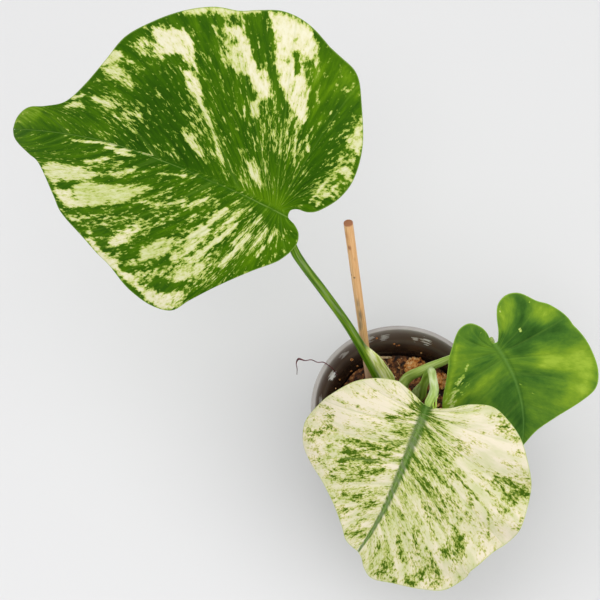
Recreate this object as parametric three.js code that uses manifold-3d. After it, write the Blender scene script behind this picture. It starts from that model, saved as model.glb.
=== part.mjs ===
// Potted variegated monstera: a young plant of three leaves in a small nursery pot.
// Millimetres, +Z up. The pot's axis is Z, its base stands on z = 0 and -Y faces the viewer.
import * as THREE from "three";
import { mergeVertices } from "three/addons/utils/BufferGeometryUtils.js";
import Module from "manifold-3d";

const wasm = await Module();
wasm.setup();
const { Manifold, Mesh } = wasm;

// Clearance left between two pieces that touch on the real plant.
const GAP = 0.3;

// Nursery pot: a thin pressed tapering wall, a step below the collar and a rolled lip.
const POT_SEGMENTS = 48;
const POT_OUTSIDE = [
  [0, 0], [38.5, 0], [40, 1.5], [49.6, 82], [51.4, 84.5], [53, 95.4], [55, 95.8], [55, 97.4], [54.6, 98],
];
const POT_INSIDE = [
  [52.4, 98], [51.8, 97.4], [50.2, 85.4], [48.4, 82.8], [38.9, 2.8], [37.7, 1.6], [0, 1.6],
];
const DRAIN_HOLES = 6;
const DRAIN_RADIUS = 3;
const DRAIN_CIRCLE = 30;

// Soil: it fills the pot to a third below the rim, higher at the back, with a low heap there.
const SOIL_FLOOR = 1.9;
const SOIL_LEVEL = 63.5;
const SOIL_TILT_X = 0.07;
const SOIL_TILT_Y = 0.12;
const HEAP = { x: 1, y: 44, height: 1.3, reach: 11 };
const SOIL_RINGS = 8;
const SOIL_SEGMENTS = 36;
const CRUMB = 1.5;

// Stem: short and thick, sunk in a plain hole, with the leaf stalks rising from its crown.
const STEM_X = 1;
const STEM_Y = 9;
const STEM_FOOT = 30;
const STEM_HOLE_RADIUS = 7.4;
const STEM_PROFILE = [[30, 5.5], [33, 7], [66, 7], [70, 8.6], [73, 9.2], [73.7, 8.8]];

// Support stick: a round wooden dowel that leans back, set in a plain hole.
const STICK_FOOT = [-14.4, 8.2, 22];
const STICK_TOP = [-7.2, 68.3, 212];
const STICK_RADIUS = 2.65;

// Leaf blades. A blade is drawn flat first: u runs from the stalk along the midrib and w away
// from it, and sinus is where the notch at the stalk starts. It is then bent. droop, fall and vee
// are angles in degrees, per mm for the first two. Grid lines to a lobe bow out of the notch.
const BLADE_THICKNESS = 0.8;
const COLUMNS = 30;
const ROWS = [0, 0.04, 0.12, 0.28, 0.47, 0.66, 0.84, 1];
const LOBE_BOW = 0.7;

const LARGE = {
  base: [-38, 73.5, 228],
  heading: [-0.83, 0.55, 0.056],
  lift: [-0.33, -0.58, 0.745],
  sway: [-0.19, 0.00115],
  droop: 0.1,
  tipDroop: 0.35,
  tipFrom: 165,
  fall: { left: 0.2, right: 0.2 },
  vee: 6,
  wave: { height: 1.5, length: 46, reach: 90, left: 0.1, right: 0.4 },
  rib: 2,
  sinus: 0.1,
  tip: 201,
  left: [
    [-0.3, 2.8], [-4.9, 5.6], [-8.3, 10.2], [-7.9, 17], [-1.4, 26.7], [14, 41], [33, 59.5], [47, 74],
    [58, 85.5], [74, 89], [88, 84], [103, 73], [116, 67], [129, 58.5], [145, 47.5], [152, 37],
    [168, 18], [177, 12.5], [190, 7],
  ],
  right: [
    [-0.9, 2], [-4.4, 3.4], [-10.3, 3.4], [-16.5, 6.4], [-25.5, 16], [-30.5, 28.5], [-30.5, 46],
    [-24.5, 66], [-18, 80.5], [-7, 87.5], [13, 96], [29, 98], [43, 94], [55, 90], [70, 88], [86, 82],
    [104, 73], [120, 61.5], [130, 46.5], [142, 31], [155, 19.5], [171, 15], [184, 13.5], [192, 10.5],
  ],
};

const CREAM = {
  base: [10.5, -24, 150],
  heading: [-0.61, -0.54, -0.58],
  lift: [-0.27, -0.55, 0.79],
  sway: [0.12, -0.0006],
  droop: 0.16,
  tipDroop: 0.16,
  tipFrom: 90,
  fall: { left: 0.35, right: 0.85 },
  vee: 8,
  wave: { height: 3, length: 38, reach: 75, left: 0.2, right: 0.6 },
  rib: 1.8,
  sinus: -0.5,
  tip: 110,
  left: [
    [-0.6, 3.4], [-2.4, 8.2], [-6, 14], [-13, 22.5], [-17.5, 34], [-14.5, 45], [-8, 56.5], [2, 66],
    [16, 74], [31, 77.5], [46, 78.5], [58, 76.5], [68, 70], [82, 64.5], [93, 64], [105, 57.5],
    [111, 45], [117, 29], [123, 16], [119, 8.5], [113, 4],
  ],
  right: [
    [-0.7, 1.8], [-2.8, 7.3], [-5, 16], [-4.9, 21.2], [0.5, 32.5], [11, 45.5], [28, 59], [41, 66],
    [57, 73], [66, 70.5], [74, 64.5], [77.5, 52], [80, 40], [87, 27], [97, 16.5], [106, 9.5],
  ],
};

const GREEN = {
  base: [61.5, 4.5, 142],
  heading: [0.034, -0.766, -0.643],
  lift: [-0.062, -0.643, 0.763],
  sway: [0.4, -0.0055],
  droop: 0.12,
  tipDroop: 0.12,
  tipFrom: 50,
  fall: { left: 0.3, right: 0.4 },
  vee: 8,
  wave: { height: 1.2, length: 34, reach: 55, left: 0, right: 0.5 },
  rib: 1.6,
  sinus: -1.3,
  tip: 69,
  left: [
    [-1.7, 1.8], [-4.2, 2.9], [-9, 4], [-17, 5], [-24, 7.5], [-28, 13.5], [-27, 21], [-20, 29.5],
    [-15.5, 36.5], [-6, 44.5], [5, 48], [20, 49], [32, 48.5], [42, 44.5], [48, 34.5], [54, 19.5],
    [60, 8],
  ],
  right: [
    [-2.4, 1.7], [-5.2, 2.2], [-8.5, 2.8], [-13, 5.4], [-17, 11], [-16, 17], [-11.5, 21.5], [-0.5, 28],
    [13, 37], [26, 45], [37, 46.5], [47.5, 40], [56, 29.5], [63, 17],
  ],
};

// Leaf stalks: points along each, its radius from foot to blade, and the thin sheath wing that
// stands off one side of its lower part, as heights and widths.
const STALK_RING = 14;
const STALK_STEPS = 36;
const LARGE_STALK = {
  path: [
    [-3.3, 11.5, 74.6], [-3.5, 12, 80], [-5.6, 16.2, 90], [-8, 21.5, 101], [-18.6, 38.2, 142],
    [-29.7, 50.1, 176], [-37, 56, 199], [-40, 59.5, 210], [-40.9, 64.2, 214.8], [-41.8, 70.6, 218.8],
    [-42.6, 76.3, 224],
  ],
  radii: [3.8, 3.8, 3.6, 3.2, 2.8, 2.6, 2.5, 2.5, 2.4, 2.3, 2.2],
  side: [1, -0.2, 0],
  wing: [[86, 0], [92, 5.5], [96, 6.6], [100, 6.6], [104, 5.8], [113, 5], [120, 2.8], [126, 0]],
};
const CREAM_STALK = {
  path: [
    [1, 4, 74.6], [1.8, 3.8, 79], [6.5, 2.5, 87], [10.7, 0.8, 96], [14.9, -1.7, 108], [15.7, -2.5, 121],
    [16.7, -4.2, 136], [17.8, -5.8, 149], [18.9, -7.2, 155.5], [19.3, -8.7, 158.3], [18.6, -12.4, 160],
    [18.2, -16.3, 159], [17.6, -19.5, 157.3], [15.7, -22.1, 155], [13.6, -23.8, 152.8],
    [12.6, -24.7, 151],
  ],
  radii: [3.7, 3.6, 3.4, 3.1, 2.7, 2.5, 2.5, 2.4, 2.3, 2.2, 2.3, 2.4, 2.6, 2.7, 2.6, 2.2],
  side: [-1, 0.2, 0],
  wing: [[84, 0], [90, 5], [115, 4.5], [133, 0]],
};
const GREEN_STALK = {
  path: [
    [5.4, 11.6, 74.6], [5.8, 12.4, 80], [6.6, 14, 86], [8.5, 16, 92], [12.5, 16.9, 97],
    [18.4, 14.1, 107], [24.6, 13.3, 112.5], [30.5, 12, 118], [34.7, 11.4, 121], [48, 9.5, 131.5],
    [56, 9, 137], [61.6, 8.6, 140.8],
  ],
  radii: [3.7, 3.7, 3.6, 3.5, 3.2, 3.1, 2.8, 2.5, 2.35, 2.2, 2.1, 2],
  side: [0, -1, 0.4],
  wing: [[0, 0], [1, 0]],
};

// Loose pieces on the soil: two coir chips and a husk strip.
const CHIP_BACK = { at: [20, 34, 71], size: [8, 5.5, 4.5], dip: 0, turn: 10, seed: 5 };
const CHIP_SIDE = { at: [33, 19.5, 69], size: [6.5, 5.5, 4], dip: 0, turn: 70, seed: 11 };
const HUSK = { at: [1.5, 44.7, 71.9], size: [6.8, 1, 0.9], dip: 18, turn: -6, seed: 23 };

// Root thread: one fine dry aerial root that hangs out over the rim.
const THREAD_RADIUS = 0.42;
const THREAD_PATH = [
  [-32, 33.5, 88], [-34, 35.6, 95], [-36.6, 37.6, 98.8], [-39, 40, 98.9], [-42.5, 41.2, 98.2],
  [-46, 43.8, 98.6], [-50, 44.6, 98], [-54, 46.8, 98], [-56, 44.6, 97.5], [-56.4, 40.6, 97.2],
  [-57.4, 37, 96.6],
];

const vector = (p) => new THREE.Vector3(p[0], p[1], p[2]);

// Repeatable random numbers from 0 to 1.
function makeRandom(seed) {
  let state = seed;
  return () => {
    state = (state * 16807) % 2147483647;
    return state / 2147483647;
  };
}

function soup(triangles) {
  const geometry = new THREE.BufferGeometry();
  const kept = triangles.filter(([a, b, c]) => {
    return a.distanceTo(b) > 0.002 && b.distanceTo(c) > 0.002 && c.distanceTo(a) > 0.002;
  });
  const numbers = kept.flatMap((triangle) => triangle.flatMap((p) => [p.x, p.y, p.z]));
  geometry.setAttribute("position", new THREE.Float32BufferAttribute(numbers, 3));
  return mergeVertices(geometry, 0.001);
}

// A closed skin through rings of points, with a fan over the first and the last ring.
function loft(rings) {
  const triangles = [];
  const count = rings[0].length;
  const middle = (ring) => ring.reduce((sum, p) => sum.add(p), new THREE.Vector3()).divideScalar(count);
  const first = middle(rings[0]);
  const last = middle(rings[rings.length - 1]);
  for (let k = 0; k < count; k += 1) {
    const next = (k + 1) % count;
    triangles.push([first, rings[0][next], rings[0][k]]);
    triangles.push([last, rings[rings.length - 1][k], rings[rings.length - 1][next]]);
    for (let i = 0; i + 1 < rings.length; i += 1) {
      const low = rings[i];
      const high = rings[i + 1];
      triangles.push([low[k], low[next], high[next]]);
      triangles.push([low[k], high[next], high[k]]);
    }
  }
  return soup(triangles);
}

function circle(centre, radius, count) {
  return Array.from({ length: count }, (_, k) => {
    const angle = (2 * Math.PI * k) / count;
    return new THREE.Vector3(radius * Math.cos(angle), radius * Math.sin(angle), 0).add(vector(centre));
  });
}

function toManifold(geometry) {
  const bare = new THREE.BufferGeometry();
  bare.setAttribute("position", geometry.getAttribute("position"));
  bare.setIndex(geometry.getIndex());
  const welded = mergeVertices(bare, 0.001);
  return new Manifold(new Mesh({
    numProp: 3,
    vertProperties: new Float32Array(welded.getAttribute("position").array),
    triVerts: new Uint32Array(welded.getIndex().array),
  }));
}

function cut(geometry, tools) {
  let body = toManifold(geometry);
  for (const tool of tools) {
    body = body.subtract(toManifold(tool));
  }
  const mesh = body.getMesh();
  const result = new THREE.BufferGeometry();
  result.setAttribute("position", new THREE.Float32BufferAttribute(mesh.vertProperties, 3));
  result.setIndex(Array.from(mesh.triVerts));
  return result;
}

// A round rod between two points.
function rod(from, to, radius, count) {
  const along = vector(to).sub(vector(from));
  const upright = new THREE.Vector3(0, 1, 0);
  const turn = new THREE.Quaternion().setFromUnitVectors(upright, along.clone().normalize());
  const middle = vector(from).addScaledVector(along, 0.5);
  const cylinder = new THREE.CylinderGeometry(radius, radius, along.length(), count);
  return cylinder.applyQuaternion(turn).translate(middle.x, middle.y, middle.z);
}

function makePot() {
  const profile = [...POT_OUTSIDE, ...POT_INSIDE].map(([r, z]) => new THREE.Vector2(r, z));
  const shell = new THREE.LatheGeometry(profile, POT_SEGMENTS).rotateX(Math.PI / 2);
  const holes = circle([0, 0, 0], DRAIN_CIRCLE, DRAIN_HOLES).map((p) => {
    return rod([p.x, p.y, -2], [p.x, p.y, 4], DRAIN_RADIUS, 16);
  });
  return cut(shell, holes);
}

function soilHeight(x, y) {
  const away = Math.hypot(x - HEAP.x, y - HEAP.y) / HEAP.reach;
  return SOIL_LEVEL + SOIL_TILT_X * x + SOIL_TILT_Y * y + HEAP.height * Math.exp(-away * away);
}

const potInside = (z) => 38.9 + (z - 2.8) * (48.4 - 38.9) / (82.8 - 2.8);

function makeSoil(cavities) {
  const random = makeRandom(7);
  const rings = [
    circle([0, 0, SOIL_FLOOR], 37.3, SOIL_SEGMENTS),
    circle([0, 0, 3.2], potInside(3.2) - GAP, SOIL_SEGMENTS),
  ];
  for (let i = SOIL_RINGS; i >= 1; i -= 1) {
    const share = i / SOIL_RINGS;
    const edge = i === SOIL_RINGS;
    rings.push(circle([0, 0, 0], 1, SOIL_SEGMENTS).map((p) => {
      const reach = (potInside(60) - 0.6) * (edge ? 1 : share + (random() - 0.5) * 0.04);
      const x = p.x * reach;
      const y = p.y * reach;
      return new THREE.Vector3(x, y, soilHeight(x, y) + CRUMB * (2 * random() - 1) * share);
    }));
  }
  const stemHole = rod([STEM_X, STEM_Y, STEM_FOOT - GAP], [STEM_X, STEM_Y, 90], STEM_HOLE_RADIUS, 32);
  const foot = vector(STICK_FOOT);
  const lean = vector(STICK_TOP).sub(foot).normalize();
  const deep = foot.clone().addScaledVector(lean, -GAP).toArray();
  const high = foot.clone().addScaledVector(lean, 70).toArray();
  return cut(loft(rings), [stemHole, rod(deep, high, STICK_RADIUS + GAP, 24), ...cavities]);
}

function makeStem() {
  return loft(STEM_PROFILE.map(([z, r]) => circle([STEM_X, STEM_Y, z], r, 28)));
}

// A lump with a rough skin: rings of a ball, each point moved in or out by chance.
function makeLump({ at, size, dip, turn, seed }, grow) {
  const random = makeRandom(seed);
  const rings = [-0.85, -0.45, 0.05, 0.5, 0.88].map((height) => {
    return circle([0, 0, height], Math.sqrt(1 - height * height), 14).map((p) => {
      const rough = 0.82 + 0.3 * random();
      return new THREE.Vector3(p.x * rough, p.y * rough, p.z);
    });
  });
  const scale = size.map((s) => s + grow);
  const lump = loft(rings).scale(scale[0], scale[1], scale[2]);
  lump.rotateY(THREE.MathUtils.degToRad(dip)).rotateZ(THREE.MathUtils.degToRad(turn));
  return lump.translate(at[0], at[1], at[2]);
}

// The blade's frame: t along the midrib, n out of the upper face, s to the left.
function bladeFrame(blade) {
  const t = vector(blade.heading).normalize();
  const n = vector(blade.lift);
  n.addScaledVector(t, -n.dot(t)).normalize();
  return { t, n, s: new THREE.Vector3().crossVectors(n, t) };
}

// Where the flat point (u, w) of one side lies on the bent blade, and the upper face's normal.
function onBlade(blade, u, w, side) {
  const { t, n, s } = bladeFrame(blade);
  const rad = THREE.MathUtils.degToRad;
  const k = rad(blade.droop);
  const kTip = rad(blade.tipDroop);
  const near = Math.min(u, blade.tipFrom);
  const far = Math.max(u - blade.tipFrom, 0);
  const point = vector(blade.base);
  point.addScaledVector(t, Math.sin(k * near) / k).addScaledVector(n, -(1 - Math.cos(k * near)) / k);
  const ahead = t.clone().multiplyScalar(Math.cos(k * near)).addScaledVector(n, -Math.sin(k * near));
  const up = n.clone().multiplyScalar(Math.cos(k * near)).addScaledVector(t, Math.sin(k * near));
  point.addScaledVector(ahead, Math.sin(kTip * far) / kTip);
  point.addScaledVector(up, -(1 - Math.cos(kTip * far)) / kTip);
  up.multiplyScalar(Math.cos(kTip * far)).addScaledVector(ahead, Math.sin(kTip * far));

  const sign = side === "left" ? 1 : -1;
  const fall = rad(blade.fall[side]);
  const vee = rad(blade.vee);
  const slope = vee - fall * w;
  const out = (Math.sin(vee) - Math.sin(slope)) / fall;
  const rise = (Math.cos(slope) - Math.cos(vee)) / fall;
  const { height, length, reach } = blade.wave;
  const ripple = height * (w / reach) ** 2 * Math.sin(2 * Math.PI * (u / length + blade.wave[side]));
  const ahead0 = Math.max(u, 0);
  const middle = blade.sway[0] * ahead0 + blade.sway[1] * ahead0 * ahead0;
  point.addScaledVector(s, middle + sign * out).addScaledVector(up, rise + ripple);

  const lean = w > 0.01 ? slope : 0;
  const normal = up.clone().multiplyScalar(Math.cos(lean)).addScaledVector(s, -sign * Math.sin(lean));
  return { point, normal };
}

function bladeCorner(blade, u, w, side) {
  const { point, normal } = onBlade(blade, u, w, side);
  const start = THREE.MathUtils.smoothstep(u, blade.sinus, 12);
  const taper = 1 - 0.8 * Math.max(u, 0) / blade.tip;
  const rib = blade.rib * start * taper * Math.exp(-((w / 2.2) ** 2));
  return {
    upper: point.clone().addScaledVector(normal, BLADE_THICKNESS / 2),
    lower: point.clone().addScaledVector(normal, -BLADE_THICKNESS / 2 - rib),
  };
}

function makeBlade(blade) {
  const triangles = [];
  for (const side of ["left", "right"]) {
    const outline = [[blade.sinus, 0], ...blade[side], [blade.tip, 0]];
    const margin = new THREE.SplineCurve(outline.map(([u, w]) => new THREE.Vector2(u, w)));
    const grid = [];
    for (let j = 0; j <= COLUMNS; j += 1) {
      const share = j / COLUMNS;
      const edge = margin.getPoint(share);
      const root = blade.sinus + (blade.tip * 0.94 - blade.sinus) * share ** 1.5;
      const bow = LOBE_BOW * Math.max(root - edge.x, 0);
      grid.push(ROWS.map((row) => {
        const out = Math.max(edge.y, 0) * row + bow * row * (1 - row);
        return bladeCorner(blade, root + (edge.x - root) * row, out, side);
      }));
    }
    const face = (a, b, c, d, flip) => {
      const pair = [[a, b, c], [a, c, d]];
      triangles.push(...pair.map(([p, q, r]) => (flip ? [p, r, q] : [p, q, r])));
    };
    const mirrored = side === "right";
    for (let j = 0; j < COLUMNS; j += 1) {
      const [here, next] = [grid[j], grid[j + 1]];
      for (let i = 0; i + 1 < ROWS.length; i += 1) {
        face(here[i].upper, next[i].upper, next[i + 1].upper, here[i + 1].upper, mirrored);
        face(here[i].lower, next[i].lower, next[i + 1].lower, here[i + 1].lower, !mirrored);
      }
      const end = ROWS.length - 1;
      face(here[end].upper, next[end].upper, next[end].lower, here[end].lower, mirrored);
    }
  }
  return soup(triangles);
}

// The wing's width at one height: straight between the heights given.
function wingWidth(wing, height) {
  const next = wing.findIndex(([level]) => level > height);
  if (next < 1) {
    return 0;
  }
  const [low, high] = [wing[next - 1], wing[next]];
  return THREE.MathUtils.mapLinear(height, low[0], high[0], low[1], high[1]);
}

// A stalk swept along its path, round but for the sheath wing.
function makeStalk({ path, radii, side, wing }) {
  const curve = new THREE.CatmullRomCurve3(path.map(vector));
  const rings = [];
  for (let i = 0; i <= STALK_STEPS; i += 1) {
    const share = i / STALK_STEPS;
    const centre = curve.getPoint(share);
    const along = curve.getTangent(share);
    const across = vector(side);
    across.addScaledVector(along, -across.dot(along)).normalize();
    const over = new THREE.Vector3().crossVectors(along, across);
    const slot = share * (radii.length - 1);
    const index = Math.min(Math.floor(slot), radii.length - 2);
    const radius = THREE.MathUtils.lerp(radii[index], radii[index + 1], slot - index);
    const flare = wingWidth(wing, centre.z);
    rings.push(Array.from({ length: STALK_RING }, (_, k) => {
      const angle = (2 * Math.PI * k) / STALK_RING;
      const reach = radius + flare * Math.max(0, Math.cos(angle)) ** 9;
      const point = centre.clone().addScaledVector(across, reach * Math.cos(angle));
      return point.addScaledVector(over, radius * Math.sin(angle));
    }));
  }
  return loft(rings);
}

function makeThread() {
  const curve = new THREE.CatmullRomCurve3(THREAD_PATH.map(vector));
  const shape = new THREE.Shape(circle([0, 0, 0], THREAD_RADIUS, 6).map((p) => new THREE.Vector2(p.x, p.y)));
  return new THREE.ExtrudeGeometry(shape, { steps: 30, extrudePath: curve });
}

const part = new THREE.Group();

function add(name, geometry, color, roughness) {
  const mesh = new THREE.Mesh(geometry, new THREE.MeshStandardMaterial({ color, roughness, metalness: 0 }));
  mesh.name = name;
  part.add(mesh);
}

const chips = [CHIP_BACK, CHIP_SIDE, HUSK];
add("pot", makePot(), 0x3a3836, 0.3);
add("soil", makeSoil(chips.map((chip) => makeLump(chip, GAP))), 0x3b2a20, 1);
add("coir_chip_back", makeLump(CHIP_BACK, 0), 0xb07a45, 0.95);
add("coir_chip_side", makeLump(CHIP_SIDE, 0), 0xa8703c, 0.95);
add("husk_strip", makeLump(HUSK, 0), 0xc9a77e, 0.9);
add("stem", makeStem(), 0x7f9a52, 0.6);
add("stalk_large", makeStalk(LARGE_STALK), 0x5f9440, 0.5);
add("stalk_cream", makeStalk(CREAM_STALK), 0x9cba86, 0.5);
add("stalk_green", makeStalk(GREEN_STALK), 0x8fb56f, 0.5);
add("blade_large", makeBlade(LARGE), 0x4a8a2c, 0.45);
add("blade_cream", makeBlade(CREAM), 0xe6e8c4, 0.45);
add("blade_green", makeBlade(GREEN), 0x5c9a34, 0.45);
add("support_stick", rod(STICK_FOOT, STICK_TOP, STICK_RADIUS, 24), 0xc09262, 0.8);
add("root_thread", makeThread(), 0x5a2430, 0.9);

export default part;
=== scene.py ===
import math
import random

import bpy
import numpy as np
from mathutils import Matrix, Vector


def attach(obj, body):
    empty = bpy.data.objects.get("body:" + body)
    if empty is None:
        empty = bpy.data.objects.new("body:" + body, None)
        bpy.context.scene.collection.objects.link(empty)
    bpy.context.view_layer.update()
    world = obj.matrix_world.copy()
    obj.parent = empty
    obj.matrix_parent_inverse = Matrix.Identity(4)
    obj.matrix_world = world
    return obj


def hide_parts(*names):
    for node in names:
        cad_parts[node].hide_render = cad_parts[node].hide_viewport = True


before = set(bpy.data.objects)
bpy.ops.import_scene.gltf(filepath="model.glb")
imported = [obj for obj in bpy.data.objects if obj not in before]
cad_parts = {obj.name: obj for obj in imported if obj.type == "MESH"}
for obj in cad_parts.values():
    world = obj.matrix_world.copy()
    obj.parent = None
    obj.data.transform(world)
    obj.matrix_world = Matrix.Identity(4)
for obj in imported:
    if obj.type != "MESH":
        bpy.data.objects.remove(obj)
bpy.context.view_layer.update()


# Nursery pot. The real one is thin smoke-grey polypropylene, injection moulded in one shot:
# a tapering wall, a step under the collar, a rolled lip and six drain holes in its base.
POT_SIDES = 96
POT_RINGS = [  # radius and height in mm, from the base disc up the outside, over the lip and down inside
    (38.2, 0), (39.3, 0.4), (40, 1.5), (49.6, 82), (50.1, 83), (51.2, 84.3), (51.5, 85.2), (53, 94.9),
    (53.3, 95.5), (54.6, 95.8), (55, 96.2), (55, 97.2), (54.8, 97.7), (54.3, 98), (53, 98), (52.2, 97.8),
    (51.8, 97.2), (51.3, 94), (51.15, 93.6), (50.6, 88), (50.3, 85.8), (49.9, 84.9), (48.8, 83.6),
    (48.4, 82.7), (38.9, 2.8), (38.4, 1.9), (37.4, 1.6),
]
DRAIN_HOLES = 6
DRAIN_RADIUS = 3  # mm
DRAIN_CIRCLE = 30  # mm from the middle of the base to each hole
DRILL_DEPTH = 12  # mm, right through the base
POT_GLINTS = [  # middle and reach in mm, and strength, of the painted highlights: glints painted white on the gloss
    ((30.5, 42, 89), 13, 1.0), ((24, 45.5, 88), 8, 0.7), ((-36, 36, 86), 12, 1.0), ((-47, 18, 88), 14, 0.7),
    ((-8, 51, 93), 16, 0.5), ((4, 51, 91), 12, 0.5), ((-24, 45, 92), 12, 0.5),
]


def deselect():
    bpy.ops.object.select_all(action="DESELECT")


def pick(piece):
    """Selects one piece alone and makes it the active one."""
    deselect()
    piece.select_set(True)
    bpy.context.view_layer.objects.active = piece


def edit(piece):
    """Opens one piece in edit mode with everything in it selected."""
    pick(piece)
    bpy.ops.object.mode_set(mode="EDIT")
    bpy.ops.mesh.select_all(action="SELECT")


def turned(name, rings, sides):
    """A round piece drawn up from its base disc, one extruded and resized ring at a time."""
    deselect()
    radius, height = rings[0]
    bpy.ops.mesh.primitive_circle_add(
        vertices=sides, radius=radius / 1000, fill_type="NGON", location=(0, 0, height / 1000)
    )
    piece = bpy.context.active_object
    piece.name = name
    edit(piece)
    for next_radius, next_height in rings[1:]:
        rise = (next_height - height) / 1000
        bpy.ops.mesh.extrude_region_move(TRANSFORM_OT_translate={"value": (0, 0, rise)})
        grow = next_radius / radius
        bpy.ops.transform.resize(value=(grow, grow, 1), center_override=(0, 0, next_height / 1000))
        radius, height = next_radius, next_height
    bpy.ops.mesh.select_all(action="SELECT")
    bpy.ops.mesh.normals_make_consistent(inside=False)
    bpy.ops.object.mode_set(mode="OBJECT")
    return piece


def apply_modifiers(piece):
    pick(piece)
    for modifier in list(piece.modifiers):
        bpy.ops.object.modifier_apply(modifier=modifier.name)


def colour(code):
    """An sRGB hex colour as the linear numbers that the shaders take."""
    parts = [int(code[i : i + 2], 16) / 255 for i in (1, 3, 5)]
    return tuple(p / 12.92 if p <= 0.04045 else ((p + 0.055) / 1.055) ** 2.4 for p in parts) + (1,)


def new_material(name):
    """A material with an empty node tree but for its output."""
    material = bpy.data.materials.new(name)
    material.use_nodes = True
    material.node_tree.nodes.clear()
    material.node_tree.nodes.new("ShaderNodeOutputMaterial")
    return material


def node(material, kind, sockets=None, stops=None, **settings):
    """Adds a node: its settings, its sockets' values or links, and the stops of a colour ramp."""
    tree = material.node_tree
    made = tree.nodes.new(kind)
    for name, value in settings.items():
        setattr(made, name, value)
    for name, value in (sockets or {}).items():
        if isinstance(value, bpy.types.NodeSocket):
            tree.links.new(value, made.inputs[name])
        else:
            made.inputs[name].default_value = value
    if stops:
        ramp = made.color_ramp.elements
        while len(ramp) < len(stops):
            ramp.new(0.5)
        for point, (place, shade) in zip(ramp, stops):
            point.position = place
            point.color = colour(shade) if isinstance(shade, str) else (shade, shade, shade, 1)
    return made


def finish_material(material, surface):
    output = material.node_tree.nodes["Material Output"]
    material.node_tree.links.new(surface, output.inputs["Surface"])
    return material


def settle(piece, material, stands_for=(), smooth=35):
    """Puts a finished piece's place into its mesh, gives it its material and hands it to the frame."""
    pick(piece)
    bpy.ops.object.transform_apply(location=True, rotation=True, scale=True)
    bpy.ops.object.shade_smooth_by_angle(angle=math.radians(smooth))
    piece.data.materials.clear()
    piece.data.materials.append(material)
    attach(piece, "root")
    if stands_for:
        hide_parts(*stands_for)


pot = turned("nursery_pot", POT_RINGS, POT_SIDES)
for hole in range(DRAIN_HOLES):
    turn = 2 * math.pi * hole / DRAIN_HOLES
    place = (DRAIN_CIRCLE / 1000 * math.cos(turn), DRAIN_CIRCLE / 1000 * math.sin(turn), 0)
    deselect()
    bpy.ops.mesh.primitive_cylinder_add(
        vertices=24, radius=DRAIN_RADIUS / 1000, depth=DRILL_DEPTH / 1000, location=place
    )
    drill = bpy.context.active_object
    bore = pot.modifiers.new("drain", "BOOLEAN")
    bore.object = drill
    bore.operation = "DIFFERENCE"
    bore.solver = "EXACT"
    apply_modifiers(pot)
    bpy.data.objects.remove(drill)


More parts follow.
